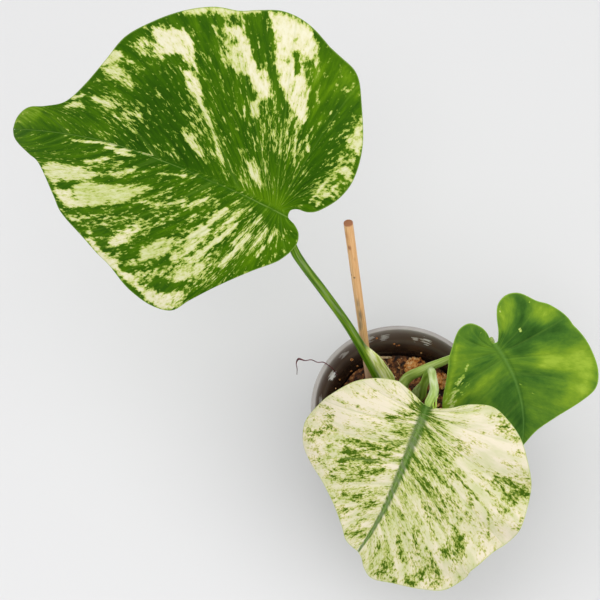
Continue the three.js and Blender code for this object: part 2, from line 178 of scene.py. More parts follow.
def smoky_polypropylene():
    """Injection-moulded polypropylene, smoke grey and glossy. It is lightest at the thin lip, where
    light comes through it, and painted nearly black lower down, which is painted shade, with dust on
    it, an uneven gloss, and painted highlights: white glints painted on the inner collar. The clouds in
    it are 22 mm, the dust 2.4 mm, drawn coarser than real to show, the glint streaks 8 by 1.3 mm."""
    material = new_material("smoky_moulded_polypropylene")
    surface = node(material, "ShaderNodeTexCoord")
    place = surface.outputs["Object"]
    parts = node(material, "ShaderNodeSeparateXYZ", {0: place})
    cloud = node(material, "ShaderNodeTexNoise", {"Vector": place, "Scale": 45.0, "Detail": 3.0})
    sway = node(
        material, "ShaderNodeMath", {0: cloud.outputs["Fac"], 1: 0.004, 2: -0.002}, operation="MULTIPLY_ADD"
    )
    height = node(material, "ShaderNodeMath", {0: parts.outputs["Z"], 1: sway.outputs[0]}, operation="ADD")
    # From the level of the mix to the lip.
    level = node(
        material, "ShaderNodeMapRange", {"Value": height.outputs[0], "From Min": 0.062, "From Max": 0.0985}
    )
    # The real pot is smoke grey. This ramp paints it pale at the lip, where light comes through the thin
    # plastic, and near black down towards the mix, which is painted shade inside the pot.
    tint = node(
        material,
        "ShaderNodeValToRGB",
        {"Fac": level.outputs["Result"]},
        [
            (0.0, "#1a110e"), (0.42, "#33261f"), (0.58, "#4a3d36"), (0.64, "#66584f"), (0.85, "#7a6e68"),
            (0.93, "#8e8581"), (1.0, "#b2adaa"),
        ],
    )
    dust = node(
        material, "ShaderNodeTexNoise", {"Vector": place, "Scale": 420.0, "Detail": 4.0, "Roughness": 0.7}
    )
    specks = node(
        material,
        "ShaderNodeMapRange",
        {"Value": dust.outputs["Fac"], "From Min": 0.66, "From Max": 0.74, "To Max": 0.35},
    )
    dusty = node(
        material,
        "ShaderNodeMix",
        {0: specks.outputs["Result"], 6: tint.outputs["Color"], 7: colour("#a89a88")},
        data_type="RGBA",
    )
    rubbed = node(
        material,
        "ShaderNodeMapRange",
        {"Value": cloud.outputs["Fac"], "From Min": 0.3, "From Max": 0.7, "To Min": 0.08, "To Max": 0.26},
    )
    drawn = node(material, "ShaderNodeMapping", {"Vector": place, "Scale": (120.0, 120.0, 760.0)})
    moulded = node(
        material,
        "ShaderNodeTexNoise",
        {"Vector": drawn.outputs[0], "Scale": 1.0, "Detail": 4.0, "Roughness": 0.7},
    )
    # The inner wall's normals point at the pot's axis, so this is 1 there and 0 on the outside.
    spoke = node(material, "ShaderNodeVectorMath", {0: place, 1: (1.0, 1.0, 0.0)}, operation="MULTIPLY")
    turned_out = node(
        material,
        "ShaderNodeVectorMath",
        {0: surface.outputs["Normal"], 1: spoke.outputs[0]},
        operation="DOT_PRODUCT",
    )
    inner = node(
        material,
        "ShaderNodeMapRange",
        {
            "Value": turned_out.outputs["Value"],
            "From Min": -0.03,
            "From Max": -0.01,
            "To Min": 1.0,
            "To Max": 0.0,
        },
    )
    lightened = dusty.outputs[2]
    # Painted highlights: each glint is painted white into the colour, on the inner wall only, and broken into
    # streaks by the moulded noise.
    for middle, reach, strength in POT_GLINTS:
        away = node(
            material, "ShaderNodeVectorMath", {0: place, 1: [v / 1000 for v in middle]}, operation="DISTANCE"
        )
        near = node(
            material,
            "ShaderNodeMapRange",
            {
                "Value": away.outputs["Value"],
                "From Min": 0.0,
                "From Max": reach / 1000,
                "To Min": 1.0,
                "To Max": 0.0,
            },
        )
        inside = node(
            material,
            "ShaderNodeMath",
            {0: near.outputs["Result"], 1: inner.outputs["Result"]},
            operation="MULTIPLY",
        )
        torn = node(
            material,
            "ShaderNodeMath",
            {0: inside.outputs[0], 1: moulded.outputs["Fac"]},
            operation="MULTIPLY",
        )
        bright = node(
            material,
            "ShaderNodeMapRange",
            {"Value": torn.outputs[0], "From Min": 0.36, "From Max": 0.41, "To Max": strength},
        )
        lit = node(
            material,
            "ShaderNodeMix",
            {0: bright.outputs["Result"], 6: lightened, 7: colour("#ffffff")},
            data_type="RGBA",
        )
        lightened = lit.outputs[2]
    bump = node(
        material, "ShaderNodeBump", {"Height": moulded.outputs["Fac"], "Strength": 0.12, "Distance": 0.0004}
    )
    plastic = node(
        material,
        "ShaderNodeBsdfPrincipled",
        {
            "Base Color": lightened,
            "Roughness": rubbed.outputs["Result"],
            "IOR": 1.49,
            "Normal": bump.outputs[0],
        },
    )
    return finish_material(material, plastic.outputs[0])


settle(pot, smoky_polypropylene(), ["pot"])


# Growing mix. The real one is damp peat and composted bark filled to a third below the rim, a
# little higher at the back, with loose bark crumbs, coir bits and pale fibres lying on it.
SOIL_LEVEL = 63.5  # mm, as are all of these
SOIL_RADIUS = 45.5
SOIL_FOOT_RADIUS = 37.2
SOIL_BASE = 2
SOIL_TOP = 62.5
SOIL_RING_STEP = 1.3
SOIL_RINGS = 34  # how many
STEM_PLACE = (1, 9)
KEPT_CLEAR = [  # x, y and reach in mm of the stem, the stick, both chips and the two ends of the strip
    (*STEM_PLACE, 7.5), (-13, 23, 4), (20, 34, 7), (33, 19.5, 6), (-2, 44.5, 4), (5, 44.5, 3),
]
CRUMB_SORTS = [  # name, how many, smallest and largest mm, seed
    ("bark_chunks", 80, 3.0, 7.0, 13),
    ("bark_crumbs", 420, 0.8, 3.2, 31),
    ("coir_crumbs", 260, 0.8, 4.6, 47),
    ("pale_crumbs", 60, 0.4, 1.1, 59),
]


def soil_height(x, y):
    """The mix rises a little to the right and the back, with a low heap under the husk strip."""
    heap = 1.3 * math.exp(-(((x - 1) / 11) ** 2) - ((y - 44) / 11) ** 2)
    return SOIL_LEVEL + 0.07 * x + 0.12 * y + heap


deselect()
bpy.ops.mesh.primitive_cylinder_add(
    vertices=120,
    radius=SOIL_RADIUS / 1000,
    depth=(SOIL_TOP - SOIL_BASE) / 1000,
    location=(0, 0, (SOIL_TOP + SOIL_BASE) / 2000),
)
soil = bpy.context.active_object
soil.name = "growing_mix"
bpy.ops.object.transform_apply(location=True)
edit(soil)
bpy.ops.mesh.select_all(action="DESELECT")
bpy.ops.object.mode_set(mode="OBJECT")
for face in soil.data.polygons:
    face.select = face.normal.z > 0.9
bpy.ops.object.mode_set(mode="EDIT")
bpy.ops.mesh.select_mode(type="FACE")
for ring in range(SOIL_RINGS):
    bpy.ops.mesh.inset(thickness=SOIL_RING_STEP / 1000)
bpy.ops.mesh.poke()
bpy.ops.object.mode_set(mode="OBJECT")
bed = soil.vertex_groups.new(name="bed")
half_way = (SOIL_TOP + SOIL_BASE) / 2000
for vertex in soil.data.vertices:
    if vertex.co.z > half_way:
        bed.add([vertex.index], 1.0, "REPLACE")
        vertex.co.z = soil_height(vertex.co.x * 1000, vertex.co.y * 1000) / 1000
    else:
        vertex.co.x *= SOIL_FOOT_RADIUS / SOIL_RADIUS
        vertex.co.y *= SOIL_FOOT_RADIUS / SOIL_RADIUS
for name, size, depth in (("clods", 0.007, 0.0046), ("grit", 0.0021, 0.0024)):  # metres
    texture = bpy.data.textures.new(name, "CLOUDS")
    texture.noise_scale = size
    texture.noise_depth = 3
    rough = soil.modifiers.new(name, "DISPLACE")
    rough.texture = texture
    rough.texture_coords = "LOCAL"
    rough.direction = "Z"
    rough.strength = depth
    rough.mid_level = 0.5
    rough.vertex_group = "bed"
apply_modifiers(soil)


def damp_growing_mix():
    """Damp peat and bark, unsorted, dark brown. It is painted nearly black in its hollows, which is
    painted shade, red-brown where bark shows and tan where a fibre lies on top, and it is matt. Its
    grains are 4 mm and finer."""
    material = new_material("damp_peat_and_bark")
    place = node(material, "ShaderNodeTexCoord").outputs["Object"]
    clods = node(
        material, "ShaderNodeTexNoise", {"Vector": place, "Scale": 260.0, "Detail": 6.0, "Roughness": 0.65}
    )
    # The darkest stop sits at the low end of the same noise that makes the bumps, so the hollows are painted
    # near black: painted shade.
    tint = node(
        material,
        "ShaderNodeValToRGB",
        {"Fac": clods.outputs["Fac"]},
        [(0.36, "#120905"), (0.45, "#3a2011"), (0.54, "#784722"), (0.62, "#b27440"), (0.7, "#dcae74")],
    )
    bump = node(
        material, "ShaderNodeBump", {"Height": clods.outputs["Fac"], "Strength": 0.8, "Distance": 0.001}
    )
    mix = node(
        material,
        "ShaderNodeBsdfPrincipled",
        {"Base Color": tint.outputs["Color"], "Roughness": 0.82, "Normal": bump.outputs[0]},
    )
    return finish_material(material, mix.outputs[0])


settle(soil, damp_growing_mix(), ["soil"], smooth=60)


def rough_shape(seed):
    """The points and faces of one small broken lump, about one unit in radius."""
    deselect()
    bpy.ops.mesh.primitive_ico_sphere_add(subdivisions=1, radius=1)
    lump = bpy.context.active_object
    edit(lump)
    bpy.ops.transform.vertex_random(offset=0.2, seed=seed)
    bpy.ops.object.mode_set(mode="OBJECT")
    shape = np.array([v.co for v in lump.data.vertices])
    facets = [list(f.vertices) for f in lump.data.polygons]
    bpy.data.objects.remove(lump)
    return shape, facets


def laid_out(name, points, faces):
    """A mesh from points in millimetres."""
    mesh = bpy.data.meshes.new(name)
    mesh.from_pydata((np.asarray(points) / 1000).tolist(), [], faces)
    piece = bpy.data.objects.new(name, mesh)
    bpy.context.scene.collection.objects.link(piece)
    return piece


def laid_out_together(name, shapes, facets):
    """One mesh of many small shapes, each with the same faces."""
    each = len(shapes[0])
    faces = [[shape * each + point for point in face] for shape in range(len(shapes)) for face in facets]
    return laid_out(name, np.concatenate(shapes), faces)


def strew(name, count, smallest, largest, seed):
    """Copies one rough lump many times over the soil, each turned and stretched by chance."""
    chance = random.Random(seed)
    shape, facets = rough_shape(seed)
    crumbs = []
    while len(crumbs) < count:
        reach = SOIL_RADIUS * math.sqrt(chance.random())
        turn = chance.uniform(0, 2 * math.pi)
        x, y = reach * math.cos(turn), reach * math.sin(turn)
        size = smallest + (largest - smallest) * chance.random() ** 2.2
        room = size * 1.5
        if reach + room > SOIL_RADIUS + 0.2 or any(
            math.hypot(x - a, y - b) < c + room for a, b, c in KEPT_CLEAR
        ):
            continue
        spin = (
            Matrix.Rotation(chance.uniform(0, 6.28), 3, "Z")
            @ Matrix.Rotation(chance.gauss(0, 0.5), 3, "X")
        )
        stretch = np.diag(
            [1.5 * size * chance.uniform(0.6, 1), size * 0.8, size * chance.uniform(0.35, 0.7)]
        ) / 2
        centre = (x, y, soil_height(x, y) + size * chance.uniform(0.0, 0.45))
        crumbs.append(shape @ stretch @ np.array(spin).T + centre)
    return laid_out_together(name, crumbs, facets)


def crumb_material(name, stops, size, roughness):
    """Small matt plant matter, whose colour changes from crumb to crumb and along its grain. The size
    is how many grains lie along a metre: 240 to 900 give grains 4.2 to 1.1 mm long."""
    material = new_material(name)
    place = node(material, "ShaderNodeTexCoord").outputs["Object"]
    grain = node(
        material, "ShaderNodeTexNoise", {"Vector": place, "Scale": size, "Detail": 5.0, "Roughness": 0.6}
    )
    tint = node(material, "ShaderNodeValToRGB", {"Fac": grain.outputs["Fac"]}, stops)
    bump = node(
        material, "ShaderNodeBump", {"Height": grain.outputs["Fac"], "Strength": 0.7, "Distance": 0.0005}
    )
    shader = node(
        material,
        "ShaderNodeBsdfPrincipled",
        {"Base Color": tint.outputs["Color"], "Roughness": roughness, "Normal": bump.outputs[0]},
    )
    return finish_material(material, shader.outputs[0])


CRUMB_MATERIALS = {
    # Pine bark chunks: red-brown broken blocks, nearly black where they are wet.
    "bark_chunks": crumb_material(
        "broken_pine_bark",
        [(0.4, "#1e0d06"), (0.48, "#7e4220"), (0.56, "#bc7440"), (0.66, "#e0ae78")],
        240.0,
        0.7,
    ),
    # Composted pine bark, milled: dark red-brown flakes, paler on the broken faces.
    "bark_crumbs": crumb_material(
        "composted_pine_bark", [(0.37, "#22120a"), (0.5, "#744426"), (0.64, "#bc8252")], 330.0, 0.78
    ),
    # Chopped coir pith: dull orange-brown and spongy.
    "coir_crumbs": crumb_material(
        "chopped_coir_pith", [(0.35, "#743c14"), (0.46, "#ca8040"), (0.6, "#ecc082")], 480.0, 0.92
    ),
    # Dry fibre ends and grit: straw-pale specks.
    "pale_crumbs": crumb_material(
        "dry_fibre_ends", [(0.35, "#a08458"), (0.52, "#cdb48a"), (0.68, "#e4d6b8")], 600.0, 0.9
    ),
}
for name, count, smallest, largest, seed in CRUMB_SORTS:
    settle(strew(name, count, smallest, largest, seed), CRUMB_MATERIALS[name], smooth=20)


# Coir fibres and stray bits. The real ones are loose straw-coloured threads of husk lying across the
# mix, and a few crumbs that stuck to the wet inside wall when the pot was filled.
FIBRE_COUNT = 90
FIBRE_RINGS, FIBRE_SIDES = 9, 4
FIBRE_REACH = 44.5  # mm from the pot's middle, short of the wall
STEM_ROOM = 9  # mm from the stem's middle
ASKEW = [0.31, 0.2, 0.93]  # a direction that no thread here runs in, to lay its rings out from
WALL_BITS = [  # place in mm and size, of crumbs stuck to the wall
    (-20.2, 44.1, 82.7, 1.5), (-19.4, 44.6, 81.4, 1.0), (-17.3, 43.7, 71, 1.0), (-22, 41.4, 70.5, 1.0),
    (9.8, 47.5, 83, 0.9), (12.9, 46.5, 81.5, 1.0), (11.4, 46.9, 80.9, 0.7), (-1, 50.2, 92.5, 0.9),
    (-31, 35, 76, 0.8), (-35, 30.5, 74, 0.7), (26, 39.5, 76, 0.8),
]


def smooth_stretch(b, c, leave, arrive, part):
    """A point some part of the way from b to c, on a curve with these directions at its ends."""
    return (
        b * (2 * part**3 - 3 * part**2 + 1)
        + leave * (part**3 - 2 * part**2 + part)
        + c * (3 * part**2 - 2 * part**3)
        + arrive * (part**3 - part**2)
    )


def along_curve(points, shares):
    """Points at the given shares of a smooth curve that passes through all of these points."""
    points = np.asarray(points, float)
    points = np.vstack([2 * points[0] - points[1], points, 2 * points[-1] - points[-2]])
    slot = np.clip(shares, 0, 1) * (len(points) - 3)
    first = np.minimum(slot.astype(int), len(points) - 4)
    part = (slot - first)[:, None]
    a, b, c, d = (points[first + k] for k in range(4))
    ab, bc, cd = (np.linalg.norm(q - p, axis=1)[:, None] ** 0.5 for p, q in ((a, b), (b, c), (c, d)))
    leave = ((b - a) / ab - (c - a) / (ab + bc) + (c - b) / bc) * bc
    arrive = ((c - b) / bc - (d - b) / (bc + cd) + (d - c) / cd) * bc
    return smooth_stretch(b, c, leave, arrive, part)


def tube_faces(rings, sides):
    """The faces of a tube of rings, with each end closed by one face."""
    k = np.arange(sides)
    faces = []
    for i in range(rings - 1):
        low, high = i * sides, (i + 1) * sides
        faces += np.stack([low + k, low + (k + 1) % sides, high + (k + 1) % sides, high + k], -1).tolist()
    return faces + [list(range(sides))[::-1], list(range((rings - 1) * sides, rings * sides))]


def unit(vectors):
    """Each of these vectors at a length of one."""
    return vectors / np.linalg.norm(vectors, axis=1)[:, None]


def thin_tube(path, radii, rings, sides):
    """The points of a thin round thread along a path, with its radius at each point of the path."""
    shares = np.linspace(0, 1, rings)
    line = along_curve(path, shares)
    way = unit(np.gradient(line, axis=0))
    side = unit(np.cross(way, ASKEW))
    over = np.cross(way, side)
    radius = np.interp(shares, np.linspace(0, 1, len(radii)), radii)[:, None, None]
    turn = 2 * math.pi * np.arange(sides) / sides
    ring = side[:, None] * np.cos(turn)[None, :, None] + over[:, None] * np.sin(turn)[None, :, None]
    return (line[:, None] + radius * ring).reshape(-1, 3)


chance = random.Random(71)
strands = []
while len(strands) < FIBRE_COUNT:
    reach, turn = 43 * math.sqrt(chance.random()), chance.uniform(0, 2 * math.pi)
    x, y = reach * math.cos(turn), reach * math.sin(turn)
    heading, path = chance.uniform(0, 2 * math.pi), []
    for _ in range(4):
        path.append([x, y, soil_height(x, y) + chance.uniform(1.0, 2.6)])
        heading += chance.gauss(0, 0.6)
        stride = chance.uniform(1.4, 4.2)
        x, y = x + stride * math.cos(heading), y + stride * math.sin(heading)
    if max(math.hypot(a, b) for a, b, _ in path) > FIBRE_REACH:
        continue
    if min(math.hypot(a - STEM_PLACE[0], b - STEM_PLACE[1]) for a, b, _ in path) < STEM_ROOM:
        continue
    thick = chance.uniform(0.12, 0.3)
    strands.append(thin_tube(path, [0.05, thick, thick, 0.05], FIBRE_RINGS, FIBRE_SIDES))
fibres = laid_out_together("coir_fibres", strands, tube_faces(FIBRE_RINGS, FIBRE_SIDES)[:-2])
# Loose husk threads: straw-coloured, brown where they are damp.
husk_threads = crumb_material(
    "loose_husk_threads", [(0.35, "#7a4c22"), (0.5, "#c08c50"), (0.66, "#e6c896")], 300.0, 0.85
)
settle(fibres, husk_threads, smooth=60)
lump, lump_faces = rough_shape(83)
stuck = []
for x, y, z, size in WALL_BITS:
    stretch = (size * chance.uniform(0.7, 1.1), size * 0.7, size * chance.uniform(0.6, 1.2))
    stuck.append(lump * stretch + (x, y, z))
bits = laid_out_together("wall_bits", stuck, lump_faces)
settle(bits, CRUMB_MATERIALS["coir_crumbs"], smooth=20)


# Coir chips and a husk strip. The real ones are cut blocks of coconut husk and one dry sliver of
# it: cork-like pith full of pits, with fibre ends standing out, dropped loose on the soil.
CHIPS = [  # name, CAD node, slot, centre and half sizes in mm, turn and dip in degrees, roughness in mm
    ("coir_block_back", "coir_chip_back", "coir", (20, 34, 71), (8, 5.5, 4.5), 10, 0, 4.2),
    ("coir_block_side", "coir_chip_side", "coir", (33, 19.5, 69), (6.5, 5.5, 4), 70, 0, 4.2),
    ("husk_sliver", "husk_strip", "husk", (1.5, 44.7, 71.9), (6.8, 1, 0.9), -6, 18, 0.7),
]


def coir_husk():
    """Cut coconut husk: orange-brown pith with near-black pits 5 mm across, as coarse as they have to
    be to show, and straw-coloured fibre ends 2 mm long."""
    material = new_material("cut_coconut_husk")
    place = node(material, "ShaderNodeTexCoord").outputs["Object"]
    pith = node(
        material, "ShaderNodeTexNoise", {"Vector": place, "Scale": 520.0, "Detail": 6.0, "Roughness": 0.7}
    )
    pits = node(material, "ShaderNodeTexNoise", {"Vector": place, "Scale": 210.0, "Detail": 3.0})
    both = node(
        material,
        "ShaderNodeMix",
        {0: 0.45, 2: pith.outputs["Fac"], 3: pits.outputs["Fac"]},
        data_type="FLOAT",
    )
    tint = node(
        material,
        "ShaderNodeValToRGB",
        {"Fac": both.outputs[0]},
        [(0.38, "#4a200a"), (0.43, "#b8682a"), (0.49, "#e2964a"), (0.56, "#f4c080"), (0.66, "#fde4b6")],
    )
    bump = node(material, "ShaderNodeBump", {"Height": both.outputs[0], "Strength": 0.9, "Distance": 0.0012})
    husk = node(
        material,
        "ShaderNodeBsdfPrincipled",
        {"Base Color": tint.outputs["Color"], "Roughness": 0.95, "Normal": bump.outputs[0]},
    )
    return finish_material(material, husk.outputs[0])


def rough_lump(name, centre, half, turn, dip, depth):
    """A torn block: a ball pulled to size and turned, then broken up by a coarse and a fine noise."""
    deselect()
    bpy.ops.mesh.primitive_ico_sphere_add(subdivisions=6, radius=1)
    piece = bpy.context.active_object
    piece.name = name
    edit(piece)
    bpy.ops.transform.resize(value=[h * 0.9 / 1000 for h in half], center_override=(0, 0, 0))
    bpy.ops.transform.rotate(value=-math.radians(dip), orient_axis="Y", center_override=(0, 0, 0))
    bpy.ops.transform.rotate(value=-math.radians(turn), orient_axis="Z", center_override=(0, 0, 0))
    bpy.ops.transform.translate(value=[c / 1000 for c in centre])
    bpy.ops.object.mode_set(mode="OBJECT")
    for size, strength in ((half[0] * 0.5, depth), (half[0] * 0.15, depth * 0.5)):
        texture = bpy.data.textures.new(name, "CLOUDS")
        texture.noise_scale = size / 1000
        texture.noise_depth = 2
        rough = piece.modifiers.new("rough", "DISPLACE")
        rough.texture = texture
        rough.texture_coords = "LOCAL"
        rough.strength = strength / 1000
        rough.mid_level = 0.5
    apply_modifiers(piece)
    return piece


HUSK_MATERIALS = {
    "coir": coir_husk(),
    # Dry outer husk: pale straw, with brown only in its creases.
    "husk": crumb_material(
        "dry_husk_sliver", [(0.35, "#a08056"), (0.5, "#dcbc90"), (0.66, "#f4e6c8")], 700.0, 0.88
    ),
}
for name, solid, slot, *place_and_size in CHIPS:
    settle(rough_lump(name, *place_and_size), HUSK_MATERIALS[slot], [solid], smooth=70)


# Stem. The real one is a short thick green cane, sunk in the mix, with the ring scars of its old
# leaves round it and the three leaf stalks clasping its crown.
STEM_RINGS = [  # radius and height in mm, from the foot in the mix to the crown
    (5.4, 30), (6.4, 32), (7, 34), (7, 62), (6.7, 63), (7.1, 64), (7, 66), (7.9, 68.5), (8.3, 69.4),
    (8.1, 70), (8.6, 70.8), (9.1, 72.4), (9.2, 73.1), (8.9, 73.6), (5, 73.9), (1.2, 74),
]
stem = turned("cane_stub", STEM_RINGS, 48)
stem.location = (STEM_PLACE[0] / 1000, STEM_PLACE[1] / 1000, stem.location.z)


def green_cane():
    """Living cane: waxy green skin with corky brown scars, 1.4 mm high, where old leaves came away."""
    material = new_material("waxy_green_cane")
    place = node(material, "ShaderNodeTexCoord").outputs["Object"]
    bands = node(material, "ShaderNodeMapping", {"Vector": place, "Scale": (60.0, 60.0, 700.0)})
    scars = node(material, "ShaderNodeTexNoise", {"Vector": bands.outputs[0], "Scale": 1.0, "Detail": 4.0})
    tint = node(
        material,
        "ShaderNodeValToRGB",
        {"Fac": scars.outputs["Fac"]},
        [(0.35, "#4a3a20"), (0.45, "#64742f"), (0.58, "#86a04c"), (0.7, "#a9bd78")],
    )
    bump = node(
        material, "ShaderNodeBump", {"Height": scars.outputs["Fac"], "Strength": 0.5, "Distance": 0.0006}
    )
    skin = node(
        material,
        "ShaderNodeBsdfPrincipled",
        {"Base Color": tint.outputs["Color"], "Roughness": 0.5, "Normal": bump.outputs[0]},
    )
    return finish_material(material, skin.outputs[0])


settle(stem, green_cane(), ["stem"])


# Leaf stalks. The real ones are firm round petioles with a shallow channel, each with a thin pale
# sheath wing where it clasped the next leaf, and a paler swollen joint where it meets the blade.
STALK_STEPS = 120
STALK_SIDES = 40
CHANNEL_WIDTH = 0.35  # radians to either side of its middle
RIPPLE = 0.02  # of the radius, so that no stalk is a perfect tube
# Each stalk's path in mm and its radii along it, the side that its sheath wing stands out from, the
# wing's (height, width) pairs, and where round it the channel runs in radians, with its depth.
STALKS = {
    "stalk_large": {
        "path": [
            [-3.3, 11.5, 74.6], [-3.5, 12, 80], [-5.6, 16.2, 90], [-8, 21.5, 101], [-18.6, 38.2, 142],
            [-29.7, 50.1, 176], [-37, 56, 199], [-40, 59.5, 210], [-40.9, 64.2, 214.8], [-41.8, 70.6, 218.8],
            [-42.6, 76.3, 224],
        ],
        "radii": [3.8, 3.8, 3.6, 3.2, 2.8, 2.6, 2.5, 2.5, 2.4, 2.3, 2.2],
        "side": [1, -0.2, 0],
        "wing": [(86, 0), (92, 5.5), (96, 6.6), (100, 6.6), (104, 5.8), (113, 5), (120, 2.8), (126, 0)],
        "channel": (-1.0, 0.1),
    },
    "stalk_cream": {
        "path": [
            [1, 4, 74.6], [1.8, 3.8, 79], [6.5, 2.5, 87], [10.7, 0.8, 96], [14.9, -1.7, 108],
            [15.7, -2.5, 121], [16.7, -4.2, 136], [17.8, -5.8, 149], [18.9, -7.2, 155.5], [19.3, -8.7, 158.3],
            [18.6, -12.4, 160], [18.2, -16.3, 159], [17.6, -19.5, 157.3], [15.7, -22.1, 155],
            [13.6, -23.8, 152.8], [12.6, -24.7, 151],
        ],
        "radii": [3.7, 3.6, 3.4, 3.1, 2.7, 2.5, 2.5, 2.4, 2.3, 2.2, 2.3, 2.4, 2.6, 2.7, 2.6, 2.2],
        "side": [-1, 0.2, 0],
        "wing": [(84, 0), (90, 5), (115, 4.5), (133, 0)],
        "channel": (1.6, 0.12),
    },
    "stalk_green": {
        "path": [
            [5.4, 11.6, 74.6], [5.8, 12.4, 80], [6.6, 14, 86], [8.5, 16, 92], [12.5, 16.9, 97],
            [18.4, 14.1, 107], [24.6, 13.3, 112.5], [30.5, 12, 118], [34.7, 11.4, 121], [48, 9.5, 131.5],
            [56, 9, 137], [61.6, 8.6, 140.8],
        ],
        "radii": [3.7, 3.7, 3.6, 3.5, 3.2, 3.1, 2.8, 2.5, 2.35, 2.2, 2.1, 2],
        "side": [0, -1, 0.4],
        "wing": [(90, 0), (91, 0)],  # none, because this sheath has withered away
        "channel": (2.6, 0.12),
    },
}


def give_attribute(piece, name, values):
    """Keeps one number or one vector for each point of a mesh, for its material to read."""
    values = np.asarray(values, np.float32)
    kind = "FLOAT_VECTOR" if values.ndim == 2 else "FLOAT"
    layer = piece.data.attributes.new(name, kind, "POINT")
    layer.data.foreach_set("vector" if values.ndim == 2 else "value", values.ravel())


def distance_along(line):
    """How far along a line of points each of them lies."""
    return np.concatenate([[0], np.cumsum(np.linalg.norm(np.diff(line, axis=0), axis=1))])


def swept_stalk(name, path, radii, side, wing, channel):
    """A stalk swept along its path: round, with a channel along it and the sheath wing off one side."""
    shares = np.linspace(0, 1, STALK_STEPS)
    line = along_curve(path, shares)
    heading = unit(np.gradient(line, axis=0))
    side = np.array(side, float)
    across = unit(side - heading * (heading @ side)[:, None])
    over = np.cross(heading, across)
    radius = np.interp(shares, np.linspace(0, 1, len(radii)), radii)
    heights, widths = zip(*wing)
    flare = np.interp(line[:, 2], heights, widths, left=0, right=0)
    turn = 2 * math.pi * np.arange(STALK_SIDES) / STALK_SIDES
    fin = np.maximum(0, np.cos(turn)) ** 9  # the wing is thin and on one side only
    place, depth = channel
    dent = depth * np.exp(-(((turn - place + math.pi) % (2 * math.pi) - math.pi) / CHANNEL_WIDTH) ** 2)
    ripple = 1 + RIPPLE * np.sin(shares * 37 + 1.7)[:, None] * np.sin(2 * turn)[None]
    body = radius[:, None] * (1 - dent[None]) * ripple
    reach = body + flare[:, None] * fin[None]
    points = (
        line[:, None]
        + across[:, None] * (reach * np.cos(turn))[..., None]
        + over[:, None] * (body * np.sin(turn))[..., None]
    )
    piece = laid_out(name, points.reshape(-1, 3), tube_faces(STALK_STEPS, STALK_SIDES))
    length = distance_along(line)
    to_end = length[-1] - length
    shape = reach.shape
    grain = np.stack([reach * np.cos(turn), body * np.sin(turn), np.broadcast_to(length[:, None], shape)], -1)
    give_attribute(piece, "grain", grain.reshape(-1, 3))
    give_attribute(piece, "sheath", (np.clip(flare / 1.8, 0, 1)[:, None] * np.clip(fin * 12, 0, 1)).ravel())
    give_attribute(piece, "channel", np.broadcast_to(dent / depth, shape).ravel())
    give_attribute(piece, "to_end", np.broadcast_to(to_end[:, None], shape).ravel())
    return piece


def petiole_skin(name, rind, pale, joint, joint_length):
    """Living petiole: smooth satin skin with fine lengthwise lines, paler on its thin sheath wing,
    with a painted highlight of the wing's pale colour along its channel, and blotched on the swollen
    joint under the blade. The lines are about 1 mm wide and 25 mm long, and the joint's blotches 2 by 6 mm."""
    material = new_material(name)
    grain = node(material, "ShaderNodeAttribute", attribute_name="grain").outputs["Vector"]
    sheath = node(material, "ShaderNodeAttribute", attribute_name="sheath").outputs["Fac"]
    channel = node(material, "ShaderNodeAttribute", attribute_name="channel").outputs["Fac"]
    to_end = node(material, "ShaderNodeAttribute", attribute_name="to_end").outputs["Fac"]
    lines, tints = {}, {}
    for part, across, along, detail, stops in (  # how many lines lie across and along a millimetre
        ("rind", 0.9, 0.04, 4.0, zip((0.34, 0.5, 0.66), rind)),
        ("pale", 0.8, 0.07, 5.0, zip((0.38, 0.5, 0.62), pale)),
        ("joint", 0.55, 0.16, 5.0, zip((0.36, 0.5, 0.62), joint)),
    ):
        drawn = node(material, "ShaderNodeMapping", {"Vector": grain, "Scale": (across, across, along)})
        noise = node(
            material, "ShaderNodeTexNoise", {"Vector": drawn.outputs[0], "Scale": 1.0, "Detail": detail}
        )
        lines[part] = noise.outputs["Fac"]
        tints[part] = node(material, "ShaderNodeValToRGB", {"Fac": lines[part]}, list(stops)).outputs["Color"]
    # Painted highlight: the channel is painted part of the way to the pale colour.
    lit_channel = node(material, "ShaderNodeMath", {0: channel, 1: 0.13}, operation="MULTIPLY")
    share = node(material, "ShaderNodeMath", {0: sheath, 1: lit_channel.outputs[0]}, operation="MAXIMUM")
    mixed = node(
        material, "ShaderNodeMix", {0: share.outputs[0], 6: tints["rind"], 7: tints["pale"]}, data_type="RGBA"
    )
    limed = node(
        material,
        "ShaderNodeMapRange",
        {"Value": to_end, "From Min": 1.0, "From Max": joint_length * 0.8, "To Min": 0.85, "To Max": 0.0},
    )
    joint_tint = node(
        material,
        "ShaderNodeMix",
        {0: limed.outputs["Result"], 6: tints["joint"], 7: tints["rind"]},
        data_type="RGBA",
    )
    near_end = node(
        material,
        "ShaderNodeMapRange",
        {
            "Value": to_end,
            "From Min": joint_length,
            "From Max": joint_length + 5,
            "To Min": 1.0,
            "To Max": 0.0,
        },
    )
    jointed = node(
        material,
        "ShaderNodeMix",
        {0: near_end.outputs["Result"], 6: mixed.outputs[2], 7: joint_tint.outputs[2]},
        data_type="RGBA",
    )
    bump = node(material, "ShaderNodeBump", {"Height": lines["rind"], "Strength": 0.35, "Distance": 0.0004})
    skin = node(
        material,
        "ShaderNodeBsdfPrincipled",
        {
            "Base Color": jointed.outputs[2],
            "Roughness": 0.42,
            "Specular IOR Level": 0.12,
            "Subsurface Weight": 0.06,
            "Subsurface Radius": (0.002, 0.003, 0.001),
            "Subsurface Scale": 1.0,
            "Normal": bump.outputs[0],
        },
    )
    return finish_material(material, skin.outputs[0])


